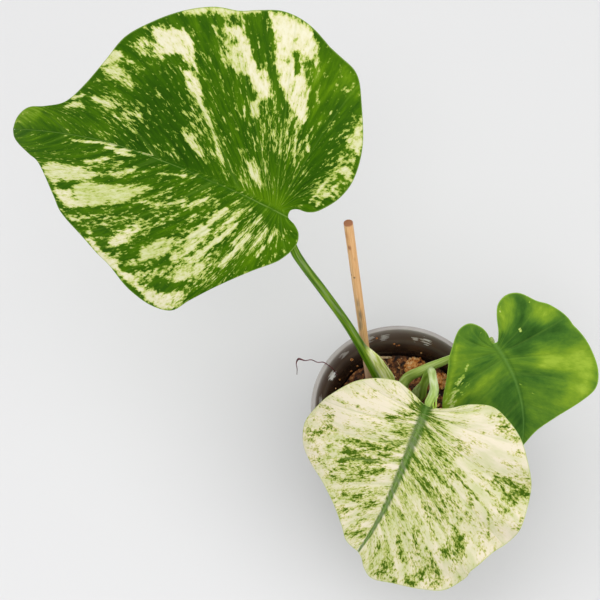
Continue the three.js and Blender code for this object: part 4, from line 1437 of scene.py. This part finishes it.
            (1.6, 2.4, 1.4, [(13, -27), (17, -32)]),
            (0.6, 2.4, 1.2, [(7, -21), (10, -24)]),
            (1.6, 2.4, 0.7, [(20, -40), (26, -43), (32, -44)]),
            (2, 1.8, 0.5, [(-10, -6.5), (-8.6, -7.2)]),
        ]),
        "white": (0.2, []),
        "shade": (0.5, [
            (1.0, 14, None, [(12, 20), (15, 46), (26, 48), (34, 44), (29, 38), (26, 30), (20, 16)]),
            (0.8, 9, None, [(-20, 28), (-10, 26), (-6, 30), (-12, 40), (-16, 36)]),
            (0.85, 8, None, [(-26, 12), (-20, 7), (-6, 5), (-12, 11), (-22, 16)]),
            (0.75, 10, None, [(30, 34), (42, 38), (50, 28), (46, 20), (36, 28)]),
            (0.12, 10, None, [
                (-9, 14), (0, 6), (6, 8), (4, 18), (4, 30), (3, 44), (-3, 44), (-4, 30), (-10, 20),
            ]),
            (0.12, 7, None, [(-25, 19), (-10, 16), (-10, 20), (-20, 23)]),
            (0.25, 9, None, [(21, 2), (30, 10), (29, 26), (24, 22), (20, 8)]),
            (0.1, 10, None, [(42, 3), (56, 1), (60, -2), (46, -9), (40, -6)]),
            (0.22, 12, None, [(24, 0), (42, 0), (42, -12), (32, -16), (24, -8)]),
            (0.6, 9, None, [(4, -12), (10, -22), (16, -34), (6, -31), (-2, -27), (-12, -19), (0, -16)]),
            (0.85, 7, None, [(15, -7), (22, -16), (26, -27), (20, -22)]),
            (0.25, 8, None, [(6, -6), (12, -14), (18, -26), (20, -36), (14, -28), (8, -16)]),
            (0.3, 8, None, [(-13, -8), (-4, -6), (-2, -14), (-10, -14)]),
            (0.75, 6, None, [(24, -28), (30, -34), (32, -43), (26, -42)]),
            (0.95, 5, None, [
                (-6, -22), (4, -28), (14, -36), (26, -45), (36, -46), (26, -41), (12, -33), (2, -25),
            ]),
            (0.95, 8, None, [(18, 40), (30, 44), (42, 42), (50, 30), (42, 32), (34, 38), (24, 36)]),
            (0.2, 7, None, [(-6, 5), (2, 5), (10, 10), (8, 20), (0, 16)]),
        ]),
    },
}


GREENEST, PALEST = -6, 10  # the levels of paleness that the lime and cream ramps run between
RIB_REACH = 5  # mm from the midrib


def variegated_leaf(name, look):
    """Leathery variegated leaf skin. Streaks of cream and lime cells follow the side veins in torn
    islands, the green under them is mottled, and the skin has a broad satin sheen. The finest flecks
    are a little coarser than the real ones, so that they show, and fewer."""
    material = new_material(name)
    values = {
        value: node(material, "ShaderNodeAttribute", attribute_name=value).outputs["Fac"]
        for value in ("pale", "white", "shade", "edge", "rib", "side_vein", "under")
    }
    vein = node(material, "ShaderNodeAttribute", attribute_name="vein").outputs["Vector"]
    noises = {}
    for kind in ("streak", "fleck", "grain"):
        across, along, detail, roughness = look[kind + "_size"]
        laid = node(material, "ShaderNodeMapping", {"Vector": vein, "Scale": (1 / across, 1 / along, 0.0)})
        noises[kind] = node(
            material,
            "ShaderNodeTexNoise",
            {"Vector": laid.outputs[0], "Scale": 1.0, "Detail": detail, "Roughness": roughness},
        ).outputs["Fac"]
    level = values["pale"]
    for kind in ("streak", "fleck"):
        shifted = {0: noises[kind], 1: look[kind], 2: level}
        level = node(material, "ShaderNodeMath", shifted, operation="MULTIPLY_ADD").outputs[0]
    middle = (look["streak"] + look["fleck"]) / 2
    reach = node(
        material,
        "ShaderNodeMapRange",
        {"Value": level, "From Min": middle + GREENEST, "From Max": middle + PALEST},
    )
    limes, creams = (
        node(
            material,
            "ShaderNodeValToRGB",
            {"Fac": reach.outputs[0]},
            [((stop - GREENEST) / (PALEST - GREENEST), shade) for stop, shade in look[kind]],
        )
        for kind in ("limes", "creams")
    )
    clouded = node(
        material,
        "ShaderNodeMath",
        {0: noises["grain"], 1: look["clouds"], 2: values["white"]},
        operation="MULTIPLY_ADD",
    )
    whiteness = node(
        material,
        "ShaderNodeMapRange",
        {"Value": clouded.outputs[0], "From Min": look["clouds"] / 2, "From Max": 1 + look["clouds"] / 2},
    )
    pale = node(
        material,
        "ShaderNodeMix",
        {0: whiteness.outputs["Result"], 6: limes.outputs["Color"], 7: creams.outputs["Color"]},
        data_type="RGBA",
    )
    cover = node(
        material,
        "ShaderNodeMapRange",
        {
            "Value": level,
            "From Min": middle + look["cover"][0],
            "From Max": middle + look["cover"][1],
        },
    )
    green_level = node(
        material,
        "ShaderNodeMath",
        {0: noises["grain"], 1: look["mottle"], 2: values["shade"]},
        operation="MULTIPLY_ADD",
    )
    spread = look["mottle"] / 2
    green_place = node(
        material,
        "ShaderNodeMapRange",
        {"Value": green_level.outputs[0], "From Min": spread, "From Max": 1 + spread},
    )
    green = node(material, "ShaderNodeValToRGB", {"Fac": green_place.outputs[0]}, look["greens"])
    veined = node(
        material,
        "ShaderNodeMapRange",
        {
            "Value": values["side_vein"],
            "From Min": 0.1,
            "From Max": 0.6,
            "To Min": look["vein"][0],
            "To Max": 0.0,
        },
    )
    feathered = node(
        material,
        "ShaderNodeMath",
        {0: noises["streak"], 1: look["feather"], 2: values["rib"]},
        operation="MULTIPLY_ADD",
    )
    mean = look["feather"] / 2
    out = node(
        material,
        "ShaderNodeMapRange",
        {"Value": feathered.outputs[0], "From Min": mean, "From Max": mean + RIB_REACH},
    )
    rib_cover, rib_tint = (
        node(
            material,
            "ShaderNodeValToRGB",
            {"Fac": out.outputs[0]},
            [(stop[0] / RIB_REACH, stop[part]) for stop in look["rib"]],
        )
        for part in (1, 2)
    )
    rimline = node(
        material,
        "ShaderNodeMapRange",
        {"Value": values["edge"], "From Min": 0.2, "From Max": 0.9, "To Min": 0.7, "To Max": 0.0},
    )
    backed = node(material, "ShaderNodeMath", {0: values["under"], 1: 0.45}, operation="MULTIPLY")
    shown = green.outputs["Color"]
    for share, laid_over in (
        (cover.outputs["Result"], pale.outputs[2]),
        (veined.outputs["Result"], colour(look["vein"][1])),
        (rib_cover.outputs["Color"], rib_tint.outputs["Color"]),
        (rimline.outputs["Result"], colour(look["margin"])),
        (backed.outputs[0], colour("#a9bf7e")),
    ):
        mixed = node(material, "ShaderNodeMix", {0: share, 6: shown, 7: laid_over}, data_type="RGBA")
        shown = mixed.outputs[2]
    bump = node(material, "ShaderNodeBump", {"Height": noises["grain"], "Strength": 0.35, "Distance": 0.0004})
    sheen = node(
        material,
        "ShaderNodeMapRange",
        {"Value": noises["fleck"], "From Min": 0.3, "From Max": 0.7, "To Min": 0.38, "To Max": 0.5},
    )
    skin = node(
        material,
        "ShaderNodeBsdfPrincipled",
        {
            "Base Color": shown,
            "Roughness": sheen.outputs["Result"],
            "Specular IOR Level": 0.045,
            "Sheen Weight": 0.08,
            "Sheen Roughness": 0.35,
            "Normal": bump.outputs[0],
        },
    )
    # A little light comes through the thin blade.
    glow = node(material, "ShaderNodeBsdfTranslucent", {"Color": shown})
    both = node(material, "ShaderNodeMixShader", {0: 0.1, 1: skin.outputs[0], 2: glow.outputs[0]})
    return finish_material(material, both.outputs[0])


# How each blade looks. The noise sizes are mm across and along the side veins, then detail and
# roughness; streak and fleck are how far these noises shift the drawn level of paleness, and cover
# is the levels at which cells stop being green. The rib's stops are mm from it, strength and colour.
LEAF_LOOKS = {
    # Deep green, torn by cream islands.
    "blade_large": {
        "streak_size": (4.0, 14, 5.0, 0.64),
        "fleck_size": (1.8, 3.9, 4.0, 0.66),
        "grain_size": (4.0, 22, 5.0, 0.65),
        "streak": 24.0,
        "fleck": 24.0,
        "cover": (-2.2, -0.5),
        "limes": [(-3, "#527a0c"), (-1, "#7a962c"), (0.6, "#a3b44c"), (2.4, "#bcc770"), (8, "#d2d79c")],
        "creams": [
            (-3, "#587c10"), (-1, "#86a034"), (0.6, "#b8c464"), (2.0, "#d4d494"), (3.6, "#e2ddb2"),
            (8, "#ebe6ca"),
        ],
        "clouds": 1.0,
        "mottle": 1.3,
        "greens": [(0.0, "#1e4200"), (0.35, "#2f5800"), (0.6, "#466f00"), (0.8, "#608706"), (1.0, "#7e9d2c")],
        "rib": [(0, 0.6, "#88a44e"), (0.55, 0.5, "#2c5803"), (2.2, 0.0, "#2c5803")],
        "feather": 0.6,
        "vein": (0.22, "#6c9030"),
        "margin": "#86a248",
    },
    # Cream all over, freckled with fine lime and green.
    "blade_cream": {
        "streak_size": (5.0, 13, 4.0, 0.6),
        "fleck_size": (1.2, 2.6, 5.0, 0.68),
        "grain_size": (5.0, 18, 3.0, 0.55),
        "streak": 38.0,
        "fleck": 38.0,
        "cover": (-7.0, -4.5),
        "limes": [
            (-5, "#345000"), (-3, "#4e6c0c"), (-1, "#829636"), (1, "#adba5c"), (3, "#c0c47c"), (6, "#ced09c"),
        ],
        "creams": [
            (-5, "#385400"), (-3, "#54720e"), (-1, "#909f42"), (1, "#c8c478"), (3, "#ded5a4"), (6, "#ebe1c8"),
        ],
        "clouds": 3.0,
        "mottle": 0.6,
        "greens": [(0.0, "#2c4a08"), (0.4, "#3e5e0c"), (0.7, "#547420"), (1.0, "#728e4c")],
        "rib": [(0, 0.8, "#64883f"), (0.8, 0.85, "#456c24"), (2.4, 0.8, "#355e12"), (4.6, 0.0, "#54741e")],
        "feather": 6.0,
        "vein": (0.3, "#a9b86c"),
        "margin": "#b4c470",
    },
    # Green with broad lime zones and hardly any cream.
    "blade_green": {
        "streak_size": (5.0, 16, 4.0, 0.6),
        "fleck_size": (1.4, 3.0, 3.0, 0.6),
        "grain_size": (5.5, 14, 5.0, 0.68),
        "streak": 10.0,
        "fleck": 22.0,
        "cover": (-0.8, 1.2),
        "limes": [(0, "#8cae34"), (2, "#aac454"), (4, "#c8d486"), (8, "#dada9c")],
        "creams": [(0, "#8cae34"), (2, "#aac454"), (4, "#c8d486"), (8, "#dada9c")],
        "clouds": 1.0,
        "mottle": 0.9,
        "greens": [(0.0, "#264c16"), (0.3, "#416b22"), (0.55, "#5f8626"), (0.8, "#7e9f28"), (1.0, "#9cb83a")],
        "rib": [(0, 0.5, "#6c9448"), (0.9, 0.4, "#5a8636"), (2.0, 0.35, "#2f5a1a"), (3.6, 0.0, "#3c6a20")],
        "feather": 1.0,
        "vein": (0.11, "#86aa40"),
        "margin": "#9cc04c",
    },
}
for name, blade in BLADES.items():
    leaf = make_blade(name + "_leaf", blade, MARKS[name])
    skin = variegated_leaf(name + "_variegated_skin", LEAF_LOOKS[name])
    settle(leaf, skin, [name], smooth=75)


# Sinus slivers. The real ones are two narrow scraps of the cream blade's torn lobe edge, bright
# yellow-green, which stand up from the blade beside the stalk's joint.
SLIVER_PATHS = [
    [[16.2, -27.5, 149.2], [16.6, -26.4, 152], [17.6, -24, 155], [19.2, -23, 157.5]],
    [[15.2, -27.6, 149.2], [15, -26.6, 152], [15.4, -25.2, 154.5], [16.2, -24.6, 156.5]],
]
SLIVER_RADII = [0.5, 0.6, 0.4, 0.08]
SLIVER_RINGS, SLIVER_SIDES = 14, 6
scraps = [thin_tube(path, SLIVER_RADII, SLIVER_RINGS, SLIVER_SIDES) for path in SLIVER_PATHS]
slivers = laid_out_together("sinus_slivers", scraps, tube_faces(SLIVER_RINGS, SLIVER_SIDES))
# Torn leaf edge: bright yellow-green, darker where it is bruised.
green_scrap = crumb_material(
    "torn_leaf_scrap", [(0.35, "#5f8a14"), (0.5, "#8fb42c"), (0.66, "#c4d870")], 260.0, 0.5
)
settle(slivers, green_scrap, smooth=70)


# Support stick. The real one is a plain round birch dowel pushed into the mix, sawn square at its
# top: straight fine grain, a small knot and specks, with a grey band of painted shade on it.
STICK_FOOT, STICK_TOP = Vector((-14.4, 8.2, 22)), Vector((-7.2, 68.3, 212))  # mm
STICK_RADIUS = 2.65  # mm
STICK_BEVEL = 0.22  # mm, the worn edge of its ends
STICK_MARKS = [  # turn in degrees, distance down from the top and half size in mm, stretch, strength, colour
    (-125, 17, 1.3, 1.6, 0.75, "#8a4a22"), (-150, 8, 1.5, 2.4, 0.4, "#a8663a"),
    (-155, 39, 0.55, 1.2, 0.9, "#3c3020"), (-115, 40.5, 0.8, 1.2, 0.9, "#3c3020"),
    # These four grey marks, 62 to 84 mm down, paint a shaded band on the stick: painted shade.
    (-112, 62, 1.3, 4.0, 0.55, "#77705c"), (-106, 72, 1.5, 4.5, 0.7, "#5c5a4c"),
    (-120, 80, 1.5, 4.0, 0.6, "#6a6858"), (-135, 84, 1.0, 3.5, 0.5, "#77705c"),
    (-80, 26, 0.7, 3.0, 0.4, "#9a7040"), (-140, 116, 4.0, 6.0, 0.7, "#f0c6a8"),
    (-110, 136, 4.0, 6.0, 0.7, "#f0c6a8"),
]
stick_length = (STICK_TOP - STICK_FOOT).length
lean = Vector((0, 0, 1)).rotation_difference((STICK_TOP - STICK_FOOT).normalized())
deselect()
bpy.ops.mesh.primitive_cylinder_add(vertices=40, radius=STICK_RADIUS / 1000, depth=stick_length / 1000)
stick = bpy.context.active_object
stick.name = "birch_dowel"
edit(stick)
bpy.ops.mesh.bevel(offset=STICK_BEVEL / 1000, segments=2, affect="EDGES")
bpy.ops.mesh.select_all(action="SELECT")
bpy.ops.mesh.subdivide(number_cuts=1)
bpy.ops.object.mode_set(mode="OBJECT")
grain = np.array([v.co * 1000 for v in stick.data.vertices])
grain[:, 2] = stick_length / 2 - grain[:, 2]
give_attribute(stick, "grain", grain)
stick.rotation_mode = "QUATERNION"
stick.rotation_quaternion = lean
stick.location = (STICK_FOOT + STICK_TOP) / 2000


def birch_dowel():
    """Turned birch: straight tan grain in lines 0.5 mm wide, red-brown on the sawn end where dye has
    run, with one knot, a few dark specks and a grey-black band of painted shade half way down."""
    material = new_material("turned_birch")
    grain = node(material, "ShaderNodeAttribute", attribute_name="grain").outputs["Vector"]
    fibres = node(material, "ShaderNodeMapping", {"Vector": grain, "Scale": (1.9, 1.9, 0.035)})
    lines = node(
        material,
        "ShaderNodeTexNoise",
        {"Vector": fibres.outputs[0], "Scale": 1.0, "Detail": 5.0, "Roughness": 0.65},
    )
    tint = node(
        material,
        "ShaderNodeValToRGB",
        {"Fac": lines.outputs["Fac"]},
        [(0.3, "#b88450"), (0.45, "#d4a268"), (0.58, "#e2b682"), (0.72, "#eccea8")],
    )
    parts = node(material, "ShaderNodeSeparateXYZ", {0: grain})
    cap = node(
        material,
        "ShaderNodeMapRange",
        {"Value": parts.outputs["Z"], "From Min": 0.35, "From Max": 1.3, "To Min": 0.85, "To Max": 0.0},
    )
    capped = node(
        material,
        "ShaderNodeMix",
        {0: cap.outputs["Result"], 6: tint.outputs["Color"], 7: colour("#9a5a38")},
        data_type="RGBA",
    )
    marked = capped.outputs[2]
    for turn, down, size, stretch, strength, shade in STICK_MARKS:
        x, y = STICK_RADIUS * math.cos(math.radians(turn)), STICK_RADIUS * math.sin(math.radians(turn))
        drawn = node(
            material,
            "ShaderNodeMapping",
            {"Vector": grain, "Location": (-x, -y, -down / stretch), "Scale": (1, 1, 1 / stretch)},
        )
        away = node(material, "ShaderNodeVectorMath", {0: drawn.outputs[0]}, operation="LENGTH")
        ragged = node(
            material,
            "ShaderNodeMath",
            {0: lines.outputs["Fac"], 1: size, 2: away.outputs["Value"]},
            operation="MULTIPLY_ADD",
        )
        core, brink = size * 0.8, size * 1.6
        cover = node(
            material,
            "ShaderNodeMapRange",
            {
                "Value": ragged.outputs[0],
                "From Min": core,
                "From Max": brink,
                "To Min": strength,
                "To Max": 0.0,
            },
        )
        mixed = node(
            material,
            "ShaderNodeMix",
            {0: cover.outputs["Result"], 6: marked, 7: colour(shade)},
            data_type="RGBA",
        )
        marked = mixed.outputs[2]
    bump = node(
        material, "ShaderNodeBump", {"Height": lines.outputs["Fac"], "Strength": 0.4, "Distance": 0.0003}
    )
    wood = node(
        material,
        "ShaderNodeBsdfPrincipled",
        {"Base Color": marked, "Roughness": 0.68, "Normal": bump.outputs[0]},
    )
    return finish_material(material, wood.outputs[0])


settle(stick, birch_dowel(), ["support_stick"])


# Root thread. The real one is a single dried aerial root, dark red-brown and as thin as sewing
# thread, that grew over the rim and has a small knot where it once branched.
THREAD_PATH = [  # mm, from inside the pot over the rim to its free end
    [-32, 33.5, 88], [-34, 35.6, 95], [-36.6, 37.6, 98.8], [-39, 40, 98.9], [-42.5, 41.2, 98.2],
    [-46, 43.8, 98.6], [-50, 44.6, 98], [-54, 46.8, 98], [-56, 44.6, 97.5], [-56.4, 40.6, 97.2],
    [-57.4, 37, 96.6],
]
THREAD_RADII = [0.3, 0.34, 0.27, 0.33, 0.28, 0.32, 0.3, 0.75, 0.3, 0.27, 0.2]
THREAD_RINGS, THREAD_SIDES = 90, 8
thread_points = thin_tube(THREAD_PATH, THREAD_RADII, THREAD_RINGS, THREAD_SIDES)
thread = laid_out("dry_root", thread_points, tube_faces(THREAD_RINGS, THREAD_SIDES))
# Dried aerial root: wrinkled dark red-brown skin, dull, a little redder on its ridges.
dried_root = crumb_material(
    "dried_aerial_root", [(0.35, "#341118"), (0.5, "#56202a"), (0.66, "#7a3c3c")], 900.0, 0.8
)
settle(thread, dried_root, ["root_thread"], smooth=80)


# Studio. The plant was photographed on a plain pale sheet, from above and a little in front,
# under broad soft light that leaves only faint wide shadows.
deselect()
bpy.ops.mesh.primitive_plane_add(size=6, location=(0, 0, -0.0004))
floor = bpy.context.active_object
floor.name = "pale_floor"
# Matt paper: an even pale grey that shows only soft shadows.
sheet = new_material("matt_pale_sheet")
paper = node(sheet, "ShaderNodeBsdfPrincipled", {"Base Color": colour("#d9d9d9"), "Roughness": 0.9})
finish_material(sheet, paper.outputs[0])
floor.data.materials.append(sheet)


def soft_light(name, place, aim, size, power):
    """A large soft lamp at a place in metres, turned towards a point."""
    lamp = bpy.data.lights.new(name, "AREA")
    lamp.shape = "DISK"
    lamp.size = size
    lamp.energy = power
    lamp_object = bpy.data.objects.new(name, lamp)
    lamp_object.location = place
    lamp_object.rotation_mode = "QUATERNION"
    lamp_object.rotation_quaternion = (Vector(aim) - Vector(place)).to_track_quat("-Z", "Y")
    bpy.context.scene.collection.objects.link(lamp_object)


soft_light("key_light", (-0.5, 0.6, 2.1), (0, 0, 0.1), 2.0, 12)
soft_light("front_light", (-0.25, -0.6, 1.35), (0, 0, 0.08), 0.5, 2.4)
soft_light("fill_light", (0.9, -0.9, 1.7), (0, 0, 0.1), 2.2, 11)
# The white room round it, which lights it evenly from all sides.
world = bpy.data.worlds.new("studio")
world.use_nodes = True
world.node_tree.nodes["Background"].inputs["Color"].default_value = colour("#f6f6f7")
world.node_tree.nodes["Background"].inputs["Strength"].default_value = 0.88
bpy.context.scene.world = world
bpy.context.scene.view_settings.view_transform = "Standard"

camera = bpy.data.cameras.new("camera")
camera.sensor_fit = "HORIZONTAL"
camera.angle = math.radians(34)
camera.clip_start = 0.01
camera_object = bpy.data.objects.new("camera", camera)
# Its turn and place in metres, fitted to the rim's ellipse: it looks down at 62 degrees, rolled by 14.
camera_object.matrix_world = Matrix(
    (
        (0.97030, 0.24192, 0.0, -0.043762),
        (-0.21360, 0.85672, -0.46947, -0.22013),
        (-0.11357, 0.45553, 0.88295, 0.67887),
        (0, 0, 0, 1),
    )
)
bpy.context.scene.collection.objects.link(camera_object)
bpy.context.scene.camera = camera_object
